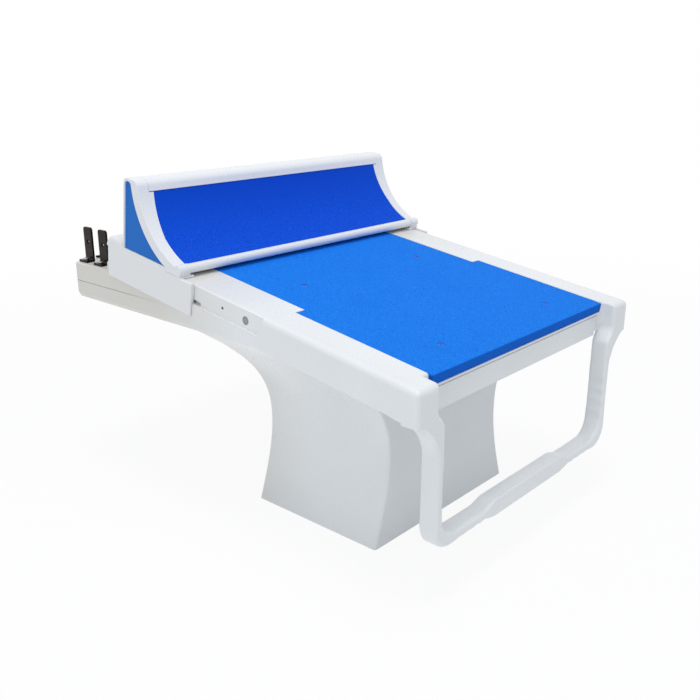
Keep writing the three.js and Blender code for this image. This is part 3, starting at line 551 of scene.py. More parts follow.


# The white body's rear colour is painted shade, darker and warmer than its front.
white_shell = moulded("white gelcoat", (0.80, 0.825, 0.845), (0.775, 0.80, 0.825), 0.30,
                      painted_rear_shade=(0.67, 0.655, 0.61))
white_cover = moulded("white cover", (0.77, 0.785, 0.80), (0.745, 0.76, 0.78), 0.30)
white_frame = moulded("white frame plastic", (0.77, 0.79, 0.83), (0.745, 0.765, 0.81), 0.26)
blue_mat = grained("blue mat", (0.007, 0.215, 0.85), (0.0035, 0.145, 0.70), (0.04, 0.29, 0.92),
                   (0.001, 0.115, 0.60))
blue_panel = grained("blue kick panel", (0.0016, 0.085, 0.70), (0.001, 0.052, 0.55),
                     (0.008, 0.13, 0.80), (0.0012, 0.066, 0.60))
blue_cheek = moulded("blue cheek plastic", (0.002, 0.14, 0.55), (0.004, 0.135, 0.49), 0.5,
                     specular=0.25)
grey_plug = moulded("grey plug plastic", (0.30, 0.32, 0.34), (0.27, 0.29, 0.31), 0.45)
pale_plastic = moulded("pale runner plastic", (0.70, 0.70, 0.65), (0.66, 0.66, 0.62), 0.45)
black_plastic = moulded("black knob plastic", (0.012, 0.012, 0.014), (0.016, 0.016, 0.018), 0.40)
mat_fixing = moulded("blue capped screw", (0.045, 0.17, 0.72), (0.03, 0.13, 0.6), 0.5,
                     specular=0.2)
steel = drawn("drawn steel", (0.52, 0.53, 0.54), (0.42, 0.42, 0.43), 0.34)
zinc = drawn("zinc plating", (0.45, 0.46, 0.47), (0.36, 0.37, 0.38), 0.42)
dark_steel = drawn("dark steel", (0.020, 0.015, 0.013), (0.055, 0.038, 0.028), 0.26)
print("materials:", len(bpy.data.materials))


# %% Dressing a piece
def dress(piece, finish, slot, body, *nodes):
    piece.data.materials.clear()
    piece.data.materials.append(finish)
    shade(piece)
    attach(piece, body)
    if nodes:
        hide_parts(*nodes)
    print(f"{piece.name}: {len(piece.data.polygons)} faces, rides on {body}")


# %% [markdown]
# ## The deck moulding
# The upper half of the body is one hollow moulding: two side rails with corner posts at the
# front, a thin wall between the posts, and the upper half of the box behind the kick plate.
# It could be modelled point by point. Solids that are joined, rounded and then cut follow the
# way the mould itself is built, and the cuts keep their crisp edges.

# %% Sizes of the body
side_band = 53
track_length = 688
post_width = 48
post_inner = half_width - post_width
wall_face = deck_front + 22
wall_thick = 7
wall_bottom = 298
wall_top = deck_height - 25
seam_height = corners("pedestal_shell")[1].z
box_top = 411
box_bottom = 345
foot_rear = 138
leg_outer = 260
leg_inner = 245
leg_rear = post_front + 33
inner_rise_low = 285
inner_rise_high = 315
ledge_end_run = 330


def eased(share):
    share = min(1, max(0, share))
    return share * share * (3 - 2 * share)


def inner_face(height):
    """The leg's inner face eases outwards into the post above it"""
    share = (height - inner_rise_low) / (inner_rise_high - inner_rise_low)
    return leg_inner + (post_inner - leg_inner) * eased(share)


def post_foot(side):
    heights = [inner_rise_high - step * 2 for step in range(17)]
    curve = [(side * inner_face(height), height) for height in heights]
    back = [(side * (post_inner + 4), heights[-1]), (side * (post_inner + 4), heights[0])]
    return prism("post_foot", curve + back, "y", post_front, leg_rear)


print(f"seam at {seam_height:.1f} mm, posts from x {post_inner:.0f} to {half_width:.0f}")

# %% Deck moulding, outside
spare = 16
overrun = 60
upper = slab("deck_moulding", half_width, (-overrun, track_length), (-side_band - spare, 0), deck)
cut(
    upper,
    slab("before_posts", y=(-far, post_front)),
    slab("between_posts", post_inner, (-far, wall_face)),
)
join(upper, post_foot(-1), post_foot(1))
behind_leg = (leg_rear - deck_front) / math.cos(slope)
cut(
    upper,
    slab("under_posts", z=(-far, -side_band - spare), place=deck),
    slab("under_deck", y=(behind_leg, far), z=(-far, -side_band), place=deck),
    slab("under_nose", leg_inner, z=(-far, -side_band), place=deck),
)
join(upper, slab("front_wall", leg_inner + 7, (wall_face, wall_face + wall_thick),
                 (wall_bottom, wall_top)))
rear_box = slab("rear_box", half_width, (0, box_rear), (seam_height, box_top))
cut(rear_box, slab("above_track", y=(-far, track_length), z=(0, far), place=deck))
join(upper, rear_box)
clean(upper)
print("outside:", len(upper.data.polygons), "faces before rounding")

# %% Deck moulding, rounded edges
top_edge_round = 8
post_round = 7
wall_fillet = 12
rim_round = 4
wall_foot_round = 3
track_end_round = 2
box_corner_round = 5
recess_lip_round = 0.9


def upper_radius(place, on_deck):
    side = near(abs(place.x), half_width)
    at_front = near(place.y, post_front)
    on_top = near(on_deck.z, 0)
    between = abs(place.x) < post_inner + 1
    if on_top and (side or at_front):
        return top_edge_round
    if at_front and (side or abs(place.x) > leg_inner) and on_deck.z > 1 - side_band - spare:
        return post_round
    if on_top and near(on_deck.y, track_length):
        return track_end_round
    if on_top:
        return rim_round
    if near(place.z, wall_bottom) and between:
        return wall_foot_round
    if near(place.z, box_top):
        return rim_round
    if near(place.y, box_rear) and side:
        return box_corner_round
    if near(on_deck.z, -side_band) and side and place.y > leg_rear:
        ease_in = eased((place.y - leg_rear) / 60)
        return rim_round * ease_in * eased((ledge_end_run - on_deck.y) / 150)
    return 0


score(upper, [leg_rear])
score(upper, [*range(40, 100, 12), *range(180, ledge_end_run, 25)], deck)
soften(upper, upper_radius)


def wall_cove(side, steps=8):
    """Fills the corner between the wall and a post, which a mould never leaves sharp"""
    rings = []
    for height in [wall_bottom + 1.5 * step for step in range(38)]:
        face = inner_face(height)
        radius = 0.4 + wall_fillet * eased((height - wall_bottom - 1) / 24)
        ring = [(face + 3, wall_face + 3), (face - radius, wall_face + 3)]
        ring += arc((face - radius, wall_face - radius), radius, 90, 0, steps)
        ring += [(face + 3, wall_face - radius)]
        rings.append([(side * across, back, height) for across, back in ring])
    return loft("cove", rings)


join(upper, wall_cove(-1), wall_cove(1))
cut(upper, *[
    side_block("post_end", side, leg_inner - 1, far, (-far, -far), (behind_leg + 2, -side_band))
    for side in (-1, 1)
])
print("rounded:", len(upper.data.polygons), "faces")

# %% [markdown]
# The kick plate's skirts slide in a shallow recess along each side, with a groove at its foot.
# Cutting it after the rounding keeps the step crisp, which is what catches the light on the
# real block. The seam behind the kick plate is a fine wedge that runs out towards the front.

# %% Deck moulding, cuts
recess_depth = 3.5
rail_face = half_width - recess_depth
recess_height = 32
recess_front = 288
recess_lean = 10
groove_depth = 6
groove_height = 7
groove_front = 434
plug_radius = 6.5
plug_run = 328
plug_drop = 18.4
plug_seat_depth = 4.3
screw_hole_radius = 2.6
screw_hole_run = 382
screw_hole_drop = 16.6
screw_hole_depth = 7
mat_front_half = 250
mat_rear_half = 230
mat_front_run = 15
mat_step_run = 278
mat_rear_run = 505
mat_thick = 16
board_thick = 3
mat_gap = 0.7
wall_inset = 21
top_thick = 27
nose_length = 48
pitch = 35
lock_run = 662
lock_places = 5
lock_hole_radius = 5.3
slot_half = 18.3
slot_depth = 3.3
slot_margin = 12.3
seam_depth = 1.4
seam_half = 0.7
seam_front = 235
seam_heights = (seam_height - seam_half, seam_height + seam_half)


def mat_outline(grow):
    front = mat_front_half + grow
    rear = mat_rear_half + grow
    low = mat_front_run - grow
    step = mat_step_run + grow
    high = mat_rear_run + grow
    right = [(front, low), (front, step), (rear, step), (rear, high)]
    return right + [(-across, run) for across, run in reversed(right)]


def side_recess(side):
    outline = [(recess_front, far), (recess_front, 0), (recess_front + recess_lean, -recess_height),
               (far, -recess_height), (far, far)]
    return prism("recess", outline, "x", *span(side, rail_face, far), deck)


def seam_wedge(side):
    """A cut that reaches its depth at the rear and runs out to nothing at its front end"""
    inner, outer = half_width - seam_depth, half_width + 5
    outline = [(half_width, seam_front), (inner, seam_front + 110), (inner, box_rear + 5),
               (outer, box_rear + 5), (outer, seam_front)]
    outline = [(side * across, back) for across, back in outline]
    return prism("seam_wedge", outline, "z", *seam_heights)


def rear_seam():
    return slab("rear_seam", y=(box_rear - seam_depth, box_rear + 5), z=seam_heights)


recess_bottom = -(mat_thick + board_thick + 0.6)
board_gap = 6
strip_front = lock_run - pitch * (lock_places - 1) - slot_margin
cuts = [
    prism("mat_recess", mat_outline(mat_gap), "z", recess_bottom, far, deck),
    slab("mat_mouth", mat_front_half + mat_gap, (-overrun, mat_front_run + 2),
         (recess_bottom, far), deck),
    slab("board_gap", mat_front_half + mat_gap, (-overrun, mat_front_run + 9),
         (recess_bottom - board_gap, recess_bottom + 1), deck),
    slab("strip_slot", slot_half, (strip_front, lock_run + slot_margin), (-slot_depth, far), deck),
    slab("hollow", half_width - wall_inset, (nose_length, track_length - wall_thick),
         (-far, -top_thick), deck),
    slab("box_hollow", half_width - wall_inset,
         (foot_rear + wall_thick, box_rear - wall_thick), (0, box_top - wall_thick)),
    rear_seam(),
]
for side in (-1, 1):
    cuts += [
        side_recess(side),
        side_block("groove", side, rail_face - groove_depth, far, (groove_front, -recess_height),
                   (far, groove_height - recess_height)),
        rod("plug_seat", "x", (plug_run, -plug_drop), plug_radius + 0.4,
            *span(side, rail_face - plug_seat_depth, far), deck),
        rod("screw_seat", "x", (screw_hole_run, -screw_hole_drop), screw_hole_radius,
            *span(side, rail_face - screw_hole_depth, far), deck, 32),
        seam_wedge(side),
    ]
for step in range(lock_places):
    spot = (0, lock_run - step * pitch)
    cuts.append(rod("lock_hole", "z", spot, lock_hole_radius, -15, far, deck, 24))
cut(upper, *cuts)
clean(upper)


def fine_radius(place, on_deck):
    """Small rounds on the lips of the recesses"""
    across, run = abs(place.x), on_deck.y
    on_top = near(on_deck.z, 0) and run < 455 and across < mat_front_half + 2
    at_side = near(across, half_width, 0.1)
    at_face = near(across, rail_face, 0.1) or at_side
    lip = at_face and near(on_deck.z, -recess_height, 0.1) and run > recess_front
    leaning = at_side and recess_front - 1 < run < recess_front + recess_lean + 1
    return recess_lip_round if on_top or lip or leaning else 0


soften(upper, fine_radius, 2, True)
dress(upper, white_shell, "white_shell", "block", "deck_shell")

# %% [markdown]
# ## The pedestal moulding
# Seen from the front the pedestal is an hourglass: it draws in from the foot to a waist and
# then flares until it meets the deck's sides, where the two surfaces are flush.
# A loft through a few sections could bulge between them. Here two smooth curves give the
# outline, which is pulled straight back, and the same outline is used for the rear box.

# %% Hourglass outline
foot_half = 190
waist_half = 156
waist_height = 150
flare_top = 356
foot_front = -138
foot_curve = [(0.5, 0.33), (0, 0.67)]
flare_curve = [(0, 0.35), (0.24, 0.544), (0.61, 0.757), (0.8, 0.874), (0.987, 0.922), (1, 1)]


def hourglass(inset, low, high):
    foot, waist, full = foot_half - inset, waist_half - inset, half_width - inset
    lower = [(waist + a * (foot - waist), b * waist_height) for a, b in foot_curve]
    rise = flare_top - waist_height
    flare = [(waist + a * (full - waist), waist_height + b * rise) for a, b in flare_curve]
    half = bezier((foot, 0), *lower, (waist, waist_height), 20)
    half += bezier((waist, waist_height), flare[0], flare[1], flare[2], 20)[1:]
    half += bezier(flare[2], flare[3], flare[4], flare[5], 16)[1:]
    half = [(half[0][0], low)] * (low < 0) + [point for point in half if point[1] >= low]
    half += [(full, high)]
    if low > 0:
        half = [(half[0][0] - 0.4, low)] + half
    return half + [(-across, height) for across, height in reversed(half)]


pedestal_round = 4.5
box_foot_round = 2.5
clip_height = seam_height + 40
lower_shell = prism("pedestal_moulding", hourglass(0, 0, clip_height), "y", foot_front, foot_rear)
rear_lower = prism("rear_lower", hourglass(0, box_bottom, clip_height), "y", foot_rear - 1,
                   box_rear)
join(lower_shell, rear_lower)
clean(lower_shell)


def lower_radius(place, on_deck):
    outside = abs(place.x) > waist_half - 5
    if near(place.y, foot_front) and place.z > 1 and outside:
        return pedestal_round
    if near(place.y, foot_rear) and outside and 1 < place.z < box_bottom:
        return pedestal_round
    if near(place.y, box_rear) and place.z < clip_height - 1:
        return box_corner_round
    if near(place.z, box_bottom) and place.y > foot_rear:
        return box_foot_round
    return 0


soften(lower_shell, lower_radius)
cove_round = 18
cove_outline = [(foot_rear - 3, box_bottom + 3), (foot_rear - 3, box_bottom - cove_round)]
cove_outline += arc((foot_rear + cove_round, box_bottom - cove_round), cove_round, 180, 90, 12)
cove_outline += [(foot_rear + cove_round, box_bottom + 3)]
cove = prism("cove", cove_outline, "x", -half_width, half_width)
combine(cove, [prism("limit", hourglass(1.5, 0, clip_height), "y", 0, box_rear)], "INTERSECT")
join(lower_shell, cove)
above = 0.02
cut(
    lower_shell,
    slab("above_deck", z=(above - side_band, far), place=deck),
    slab("above_seam", z=(seam_height + above, far)),
)
inner = prism("inside", hourglass(wall_thick, -60, clip_height), "y", foot_front + wall_thick,
              foot_rear - wall_thick)
box_inner = slab("box_inside", half_width - wall_thick, (40, box_rear - wall_thick),
                 (box_bottom + wall_thick, far))
cut(lower_shell, inner, box_inner, seam_wedge(-1), seam_wedge(1), rear_seam())
dress(lower_shell, white_shell, "white_shell", "block", "pedestal_shell")

# %% [markdown]
# ## The hand grip
# One loop hangs from the posts: flat legs, round bends, and a bar with a thick middle and
# shallow finger hollows on each side of it. A pipe along a curve would keep one section all the
# way. The loop is skinned instead from pairs of outer and inner points, because its thickness
# changes all along, and each pair carries one rounded section.

# %% Grip sizes
bar_bottom = 93
bar_thick = 18
swell_below = 5
swell_above = 8
swell_half = 116
swell_ease = 36
outer_bend = 33
inner_bend = 36
shoulder_top = 301
shoulder_bottom = 243
finger_pitch = 21
finger_depth = 1.8
bar_fingers = 4
leg_fingers = 3
bar_finger_start = 122
leg_finger_start = 158
crisp_edge = 2.5
top_slant = -1.4
grip_middle = (post_front + leg_rear) / 2
grip_half_depth = (leg_rear - post_front) / 2
bar_top = bar_bottom + bar_thick
bend_top = bar_bottom + outer_bend
inner_bend_top = bar_top + inner_bend


def swell(across):
    return eased((swell_half + swell_ease / 2 - abs(across)) / swell_ease)


def finger_wave(distance, start, count):
    place = (distance - start) / finger_pitch
    if place < 0 or place > count:
        return 0
    return finger_depth * abs(math.sin(math.pi * place))


# %% Grip sections from the top of the right leg to the middle of the bar
def leg_stations():
    fall = shoulder_top - shoulder_bottom
    reach = half_width - leg_outer
    shoulder = bezier(
        (half_width, shoulder_top),
        (half_width - 0.4 * reach, shoulder_top - 0.05 * fall),
        (half_width - 0.92 * reach, shoulder_top - 0.5 * fall),
        (leg_outer, shoulder_bottom),
        20,
    )
    outer = [(half_width, shoulder_top + rise) for rise in (14, 8, 4, 1.5)] + shoulder
    step = finger_pitch / 7
    height = shoulder_bottom - step
    while height > bend_top:
        outer.append((leg_outer, height))
        height -= step
    match_from = 200
    stretch = (match_from - inner_bend_top) / (match_from - bend_top)
    stations = []
    for across, height in outer:
        inner_height = height
        if height < match_from:
            inner_height = inner_bend_top + (height - bend_top) * stretch
        wave = finger_wave(inner_height, leg_finger_start, leg_fingers)
        stations.append(((across, height), (inner_face(inner_height), inner_height), -wave, 0))
    return stations


def bend_stations(steps=16):
    outer = arc((leg_outer - outer_bend, bend_top), outer_bend, 0, -90, steps)
    inner = arc((leg_inner - inner_bend, inner_bend_top), inner_bend, 0, -90, steps)
    return [(one, two, 0, 0) for one, two in zip(outer, inner)]


def bar_stations():
    outer_start = leg_outer - outer_bend
    inner_start = leg_inner - inner_bend
    match_from = 150
    stretch = (inner_start - match_from) / (outer_start - match_from)
    step = finger_pitch / 7
    stations = []
    across = outer_start - step
    while across > 0:
        inner_across = across
        if across > match_from:
            inner_across = match_from + (across - match_from) * stretch
        wave = finger_wave((across + inner_across) / 2, bar_finger_start, bar_fingers)
        outer = (across, bar_bottom - swell_below * swell(across))
        inner = (inner_across, bar_top + swell_above * swell(inner_across))
        stations.append((outer, inner, wave, swell(across)))
        across -= step
    return stations


right_half = leg_stations() + bend_stations() + bar_stations()
left_half = [
    ((-outer[0], outer[1]), (-inner[0], inner[1]), wave, share)
    for outer, inner, wave, share in reversed(right_half)
]
stations = right_half + left_half
print("grip sections:", len(stations))


# %% Grip skin
def rounded_section(half_one, half_two, radii, steps=6):
    points = []
    corner_signs = ((1, 1), (-1, 1), (-1, -1), (1, -1))
    for turn, ((one, two), radius) in enumerate(zip(corner_signs, radii)):
        centre = (one * (half_one - radius), two * (half_two - radius))
        points += arc(centre, radius, 90 * turn, 90 * turn + 90, steps)
    return points


rings = []
for outer, inner, wave, share in stations:
    out = Vector((outer[0] - inner[0], outer[1] - inner[1]))
    middle = Vector(((outer[0] + inner[0]) / 2, (outer[1] + inner[1]) / 2))
    half_thick = out.length / 2
    out.normalize()
    soft_edge = min(post_round, 0.84 * half_thick)
    radii = [soft_edge, soft_edge, soft_edge + share * (crisp_edge - soft_edge), soft_edge]
    ring = []
    for one, two in rounded_section(half_thick, grip_half_depth, radii):
        if wave * one > 0:
            one -= wave * abs(one) / half_thick
        if one < 0:
            one -= top_slant * share * two / grip_half_depth
        spot = middle + out * one
        ring.append((spot.x, grip_middle + two, spot.y))
    rings.append(ring)
grip = loft("hand_grip_loop", rings)
cut(grip, slab("above_joint", z=(above - side_band, far), place=deck))
dress(grip, white_shell, "white_shell", "block", "hand_grip")

# %% [markdown]
# ## The mat
# The mat is a sheet of blue rubber with a moulded non-slip grain, let into the deck flush with
# the rails. Its front edge stands over a thin white board. The grain is far too fine to model,
# so the material carries it, and the mesh carries the stepped outline and the worn, rounded rim.

# %% Mat
mat = prism("mat_sheet", mat_outline(0), "z", -mat_thick, 0, deck)
soften(mat, lambda place, on_deck: 2.2 if near(on_deck.z, 0) else 0.8, 4)
screw_across = 153
mat_screws = [(side * screw_across, run) for run in (73, 356) for side in (-1, 1)]
mat_head = 5
seats = [rod("seat", "z", spot, mat_head + 0.5, -2.4, far, deck, 32) for spot in mat_screws]
cut(mat, *seats)
dress(mat, blue_mat, "blue_mat", "block", "top_mat")

board_lip = 2
board_top = -mat_thick - part_gap
board_bottom = board_top - board_thick
board = prism("mat_backing", mat_outline(0), "z", board_bottom, board_top, deck)
join(board, slab("lip", mat_front_half, (mat_front_run - board_lip, mat_front_run + 2),
                 (board_bottom, board_top), deck))
clean(board)
soften(board, lambda place, on_deck: 1.2 if near(on_deck.y, mat_front_run - board_lip) else 0, 4)
cut(board, *[rod("hole", "z", spot, 2.5, -far, far, deck, 32) for spot in mat_screws])
dress(board, white_frame, "white_shell", "block", "mat_board")


# %% Screws with a socket
def screw_piece(name, axis_place, head_radius, head, shank_radius, shank, socket):
    """A head with a six-sided socket and a shank below it. It is placed by the head's top"""
    piece = rod(name, "z", (0, 0), head_radius, -head, 0, axis_place, 40)
    chamfer = min(0.5, head / 3)
    soften(piece, evenly(chamfer), 2, True)
    join(piece, rod("shank", "z", (0, 0), shank_radius, -head - shank, -head + 0.2, axis_place, 20))
    cut(piece, rod("socket", "z", (0, 0), socket, -0.6 * head, far, axis_place, 6))
    return piece


for count, spot in enumerate(mat_screws, 1):
    seat = deck @ Matrix.Translation((*spot, -0.4))
    screw = screw_piece(f"mat_fixing_{count}", seat, mat_head, 1.9, 2.2, 21, 2.2)
    dress(screw, mat_fixing, "zinc", "block", f"mat_screw_{count}")

# %% [markdown]
# ## Plugs and side screws
# A round grey plug closes a hole in each rail, and a small screw sits deep in a hole behind it.
# The plug has a slight dome and a fine groove round its rim, which a plain disc would lack.


# %% Side plugs and screws
def lathe(name, profile, place=level, steps=64):
    """Turns a profile of (radius, height) points, which starts and ends on the axis"""
    points, faces = [], []
    for radius, height in profile:
        if radius == 0:
            points.append((0, 0, height))
        else:
            points += [(x, y, height) for x, y in arc((0, 0), radius, 0, 360, steps)[:-1]]
    starts, here = [], 0
    for radius, _ in profile:
        starts.append(here)
        here += 1 if radius == 0 else steps
    for index in range(len(profile) - 1):
        low, high = starts[index], starts[index + 1]
        for step in range(steps):
            after = (step + 1) % steps
            if profile[index][0] == 0:
                faces.append((low, high + after, high + step))
            elif profile[index + 1][0] == 0:
                faces.append((low + step, low + after, high))
            else:
                faces.append((low + step, low + after, high + after, high + step))
    return piece_of(name, points, faces, place)


for word, side in (("left", -1), ("right", 1)):
    turn = Matrix.Rotation(math.radians(90 * side), 4, "Y")
    seat = deck @ Matrix.Translation((side * rail_face, plug_run, -plug_drop)) @ turn
    profile = [(0, -4), (plug_radius, -4), (plug_radius, -0.4), (plug_radius - 0.4, 0),
               (plug_radius - 1.0, 0), (plug_radius - 1.2, -0.4), (plug_radius - 1.7, -0.4),
               (plug_radius - 1.9, 0.0), (plug_radius - 3.5, 0.2), (0, 0.3)]
    plug = lathe(f"rail_cap_{word}", profile, seat)
    dress(plug, grey_plug, "grey_plug", "block", f"rail_plug_{word}")
    spot = (side * (rail_face - 1.5), screw_hole_run, -screw_hole_drop)
    seat = deck @ Matrix.Translation(spot) @ turn
    head = screw_hole_radius - part_gap
    screw = screw_piece(f"rail_fixing_{word}", seat, head, 1.6, 1.4, 3, 1.1)
    dress(screw, dark_steel, "zinc", "block", f"rail_screw_{word}")

# %% [markdown]
# ## The kick plate's carriage
# A saddle spans the deck: thin flanges at the front, a thicker plate behind, skirts that run in
# the side recesses with a lip outside them, and a rounded housing across the back.
# It is joined from blocks and rounded in one pass, like the body.

# %% Carriage sizes
carriage_half = corners("carriage_saddle")[1].x
carriage_front = 451
carriage_rear = track_length
run_gap = 0.8
skirt_inner = rail_face + run_gap
flange_inner = 285
flange_front = carriage_front + 28
skirt_rear = 679
flange_top = run_gap + 3
plate_top = 10
lip_depth = 53
housing_front = 638
housing_top = 20
housing_round = 20
housing_end_round = 8
housing_front_round = 5
housing_foot_round = 2.5
cover_round = 1.6
skirt_rear_round = 2
skirt_front_round = 1.4
lip_round = 1.2
wedge_centre = (455, 160.7)
panel_radius = 148
panel_thick = 6
rail_front_radius = 147
rail_back_radius = 163.5
rail_width = 22
rail_inner = carriage_half - rail_width
wedge_top = 132
wedge_back = 635
front_corner = 12
back_corner = 10
drop = wedge_centre[1] - plate_top - part_gap
reach_back = math.sqrt(rail_back_radius ** 2 - drop ** 2)
plate_front = wedge_centre[0] + reach_back
print(f"carriage: {2 * carriage_half:.0f} mm wide, plate from run {plate_front:.1f}")

# %% Carriage
saddle = slab("carriage_cover", carriage_half, (plate_front, carriage_rear - housing_round),
              (run_gap, plate_top), deck)
parts = []
for side in (-1, 1):
    parts += [
        side_block("flange", side, flange_inner, carriage_half, (flange_front, run_gap),
                   (plate_front + 1, flange_top)),
        side_block("skirt", side, skirt_inner, carriage_half,
                   (carriage_front, run_gap - recess_height), (skirt_rear, run_gap + 1)),
        side_block("lip", side, half_width + run_gap, carriage_half,
                   (carriage_front, -lip_depth), (skirt_rear, run_gap + 1)),
    ]
rear_arc = arc((carriage_rear - housing_round, 0), housing_round, 0, 90, 16)
housing_outline = [(housing_front, run_gap), (carriage_rear, run_gap)] + rear_arc[1:]
housing_outline += [(housing_front, housing_top)]
parts.append(prism("housing", housing_outline, "x", -carriage_half, carriage_half, deck))
join(saddle, *parts)
clean(saddle)


def saddle_radius(place, on_deck):
    side = near(abs(place.x), carriage_half, 0.1)
    run, rise = on_deck.y, on_deck.z
    if side and run > housing_front + 1 and rise > run_gap + 0.5:
        return housing_end_round
    if side and near(run, skirt_rear) and rise < run_gap:
        return skirt_rear_round
    if near(run, housing_front) and rise > plate_top - 0.5:
        return housing_front_round if near(rise, housing_top) else housing_foot_round
    if side and near(run, carriage_front):
        return skirt_front_round
    if side and near(rise, -lip_depth):
        return lip_round
    if side and rise > 0 and not (run > skirt_rear and near(rise, run_gap)):
        return cover_round
    return 0


boss_half = 30
hollow_half = carriage_half - 82
barrel_hole_radius = 11.3
hollows = [
    side_block("hollow", side, boss_half, hollow_half, (housing_front + 5, 0),
               (carriage_rear - housing_round, housing_top - 5))
    for side in (-1, 1)
]
cut(saddle, *hollows, rod("barrel_hole", "z", (0, lock_run), barrel_hole_radius, -50, 60, deck))
soften(saddle, saddle_radius, 5)
dress(saddle, white_cover, "white_shell", "kick_plate", "carriage_saddle")

# %% [markdown]
# ## The kick plate
# Two curved side rails, a top rail and a tube along the foot frame a curved blue panel, and a
# blue cheek fills each end. All of them follow one arc, whose centre lies in front of the
# panel, so the pieces meet without gaps. The rails are one outline with a bay cut out of it.


# %% Kick plate outlines
def on_arc(radius, degrees):
    angle = math.radians(degrees)
    return (wedge_centre[0] + radius * math.cos(angle), wedge_centre[1] + radius * math.sin(angle))


def angle_at(radius, rise):
    return math.degrees(math.asin((rise - wedge_centre[1]) / radius))


def apart(outline, least=0.05):
    """Leaves out points that all but touch the one before"""
    kept = []
    for point in outline:
        if not kept or math.dist(point, kept[-1]) > least:
            kept.append(point)
    return kept


back_thick = 4
foot_low = flange_top + part_gap
plate_seat = plate_top + part_gap
foot_angle = -80
low_angle = -74.3
top_angle = -18.2
tube_radius = 8
tube_place = on_arc(panel_radius + panel_thick / 2, -77.6)


def wedge_outline():
    corner_arc = rail_front_radius + front_corner
    high = angle_at(corner_arc, wedge_top - front_corner)
    outline = [(on_arc(rail_front_radius, foot_angle)[0], foot_low)]
    outline += arc(wedge_centre, rail_front_radius, foot_angle, high, 40)
    outline += arc(on_arc(corner_arc, high), front_corner, 180 + high, 90, 10)
    back = (wedge_back - back_corner, wedge_top - back_corner)
    outline += arc(back, back_corner, 90, 0, 10)
    step = plate_front - part_gap
    outline += [(wedge_back, plate_seat), (step, plate_seat), (step, foot_low)]
    return apart(outline)


def cheek_outline(grow, rim=5, corner=6):
    radius = rail_back_radius - grow + part_gap
    low = angle_at(radius, plate_seat)
    back = wedge_back - back_thick - part_gap + grow
    top = wedge_top - rim + grow
    corner += grow
    high = angle_at(radius + corner, top - corner)
    outline = [(back, plate_seat - grow)]
    outline += arc((back - corner, top - corner), corner, 0, 90, 8)
    outline += arc(on_arc(radius + corner, high), corner, 90, 180 + high, 8)
    outline += arc(wedge_centre, radius, high, low, 32)
    outline += [(on_arc(radius, low)[0], plate_seat - grow)]
    return apart(outline)


print("side rail outline:", len(wedge_outline()), "points")


# %% Side rails and cheeks
rail_outer_round = 3.2
rail_inner_round = 1.2
bay_round = 0.7
cheek_round = 0.6
cheek_thick = 4
cheek_outer = carriage_half - 2
trim_width = 9
trim_end = -50


def rail_radius(place, on_deck):
    outside = near(abs(place.x), carriage_half, 0.2)
    inside = near(abs(place.x), rail_inner, 0.2)
    if (outside or inside) and on_deck.z > flange_top + 1:
        return rail_outer_round if outside else rail_inner_round
    return 0


def edge_trim(side, steps=24):
    """A thin lip along the panel's edge, widest at the top and gone half way down"""
    near_radius, far_radius = rail_front_radius + 0.1, panel_radius - 0.05
    rings = []
    for step in range(steps + 1):
        degrees = top_angle - 0.5 + (trim_end - top_angle) * step / steps
        tip = rail_inner - 0.2 - trim_width * (1 - step / steps)
        section = [(rail_inner + 2, far_radius), (rail_inner + 2, near_radius),
                   (tip, near_radius), (tip, far_radius)]
        rings.append([(side * across, *on_arc(radius, degrees)) for across, radius in section])
    return loft("edge_trim", rings, deck)


def bay_radius(place, on_deck):
    at_rim = near(abs(place.x), carriage_half, 0.1) and on_deck.z > plate_seat + 1
    return bay_round if at_rim else 0


def cheek_radius(place, on_deck):
    return cheek_round if near(abs(place.x), cheek_outer, 0.1) else 0


for word, side in (("left", -1), ("right", 1)):
    width = span(side, rail_inner, carriage_half)
    rail = prism(f"side_rail_{word}", wedge_outline(), "x", *width, deck)
    join(rail, rod("foot", "x", tube_place, tube_radius + 0.8, *width, deck, 40))
    cut(rail, slab("under", z=(-far, foot_low), place=deck))
    clean(rail)
    soften(rail, rail_radius, 4, True)
    through = span(side, rail_inner - 10, carriage_half + 10)
    cut(rail, prism("bay", cheek_outline(part_gap), "x", *through, deck))
    clean(rail)
    soften(rail, bay_radius, 2, True)
    join(rail, edge_trim(side))
    dress(rail, white_frame, "white_frame", "kick_plate", f"kick_rail_{word}")
    width = span(side, cheek_outer - cheek_thick, cheek_outer)
    cheek = prism(f"cheek_{word}", cheek_outline(0), "x", *width, deck)
    soften(cheek, cheek_radius, 2, True)
    dress(cheek, blue_cheek, "blue_cheek", "kick_plate", f"kick_cheek_{word}")

# %% Panel, top rail, tube and back
fine_edge = 0.8
between = rail_inner - part_gap
panel_outline = arc(wedge_centre, panel_radius, top_angle, low_angle, 48)
panel_outline += arc(wedge_centre, panel_radius + panel_thick, low_angle, top_angle, 48)
panel = prism("kick_surface", panel_outline, "x", -between, between, deck)
soften(panel, evenly(fine_edge), 2, True, 60)
dress(panel, blue_panel, "blue_panel", "kick_plate", "kick_panel")

top_low = on_arc(panel_radius, top_angle)[1] + part_gap
top_rail = prism("top_rail", wedge_outline(), "x", -between, between, deck)
cut(top_rail, slab("below", z=(-far, top_low), place=deck))
clean(top_rail)
soften(top_rail, lambda place, on_deck: 1.2 if near(on_deck.z, top_low) else 0.5, 2, True)
dress(top_rail, white_frame, "white_frame", "kick_plate", "kick_top_rail")

tube = rod("foot_tube", "x", tube_place, tube_radius, -between, between, deck, 56)
soften(tube, evenly(fine_edge), 2, True, 60)
dress(tube, white_frame, "white_frame", "kick_plate", "kick_tube")

back = slab("back_cover", between, (wedge_back - back_thick, wedge_back),
            (plate_seat, top_low - part_gap), deck)
soften(back, evenly(fine_edge), 2, True)
dress(back, white_frame, "white_frame", "kick_plate", "kick_back")

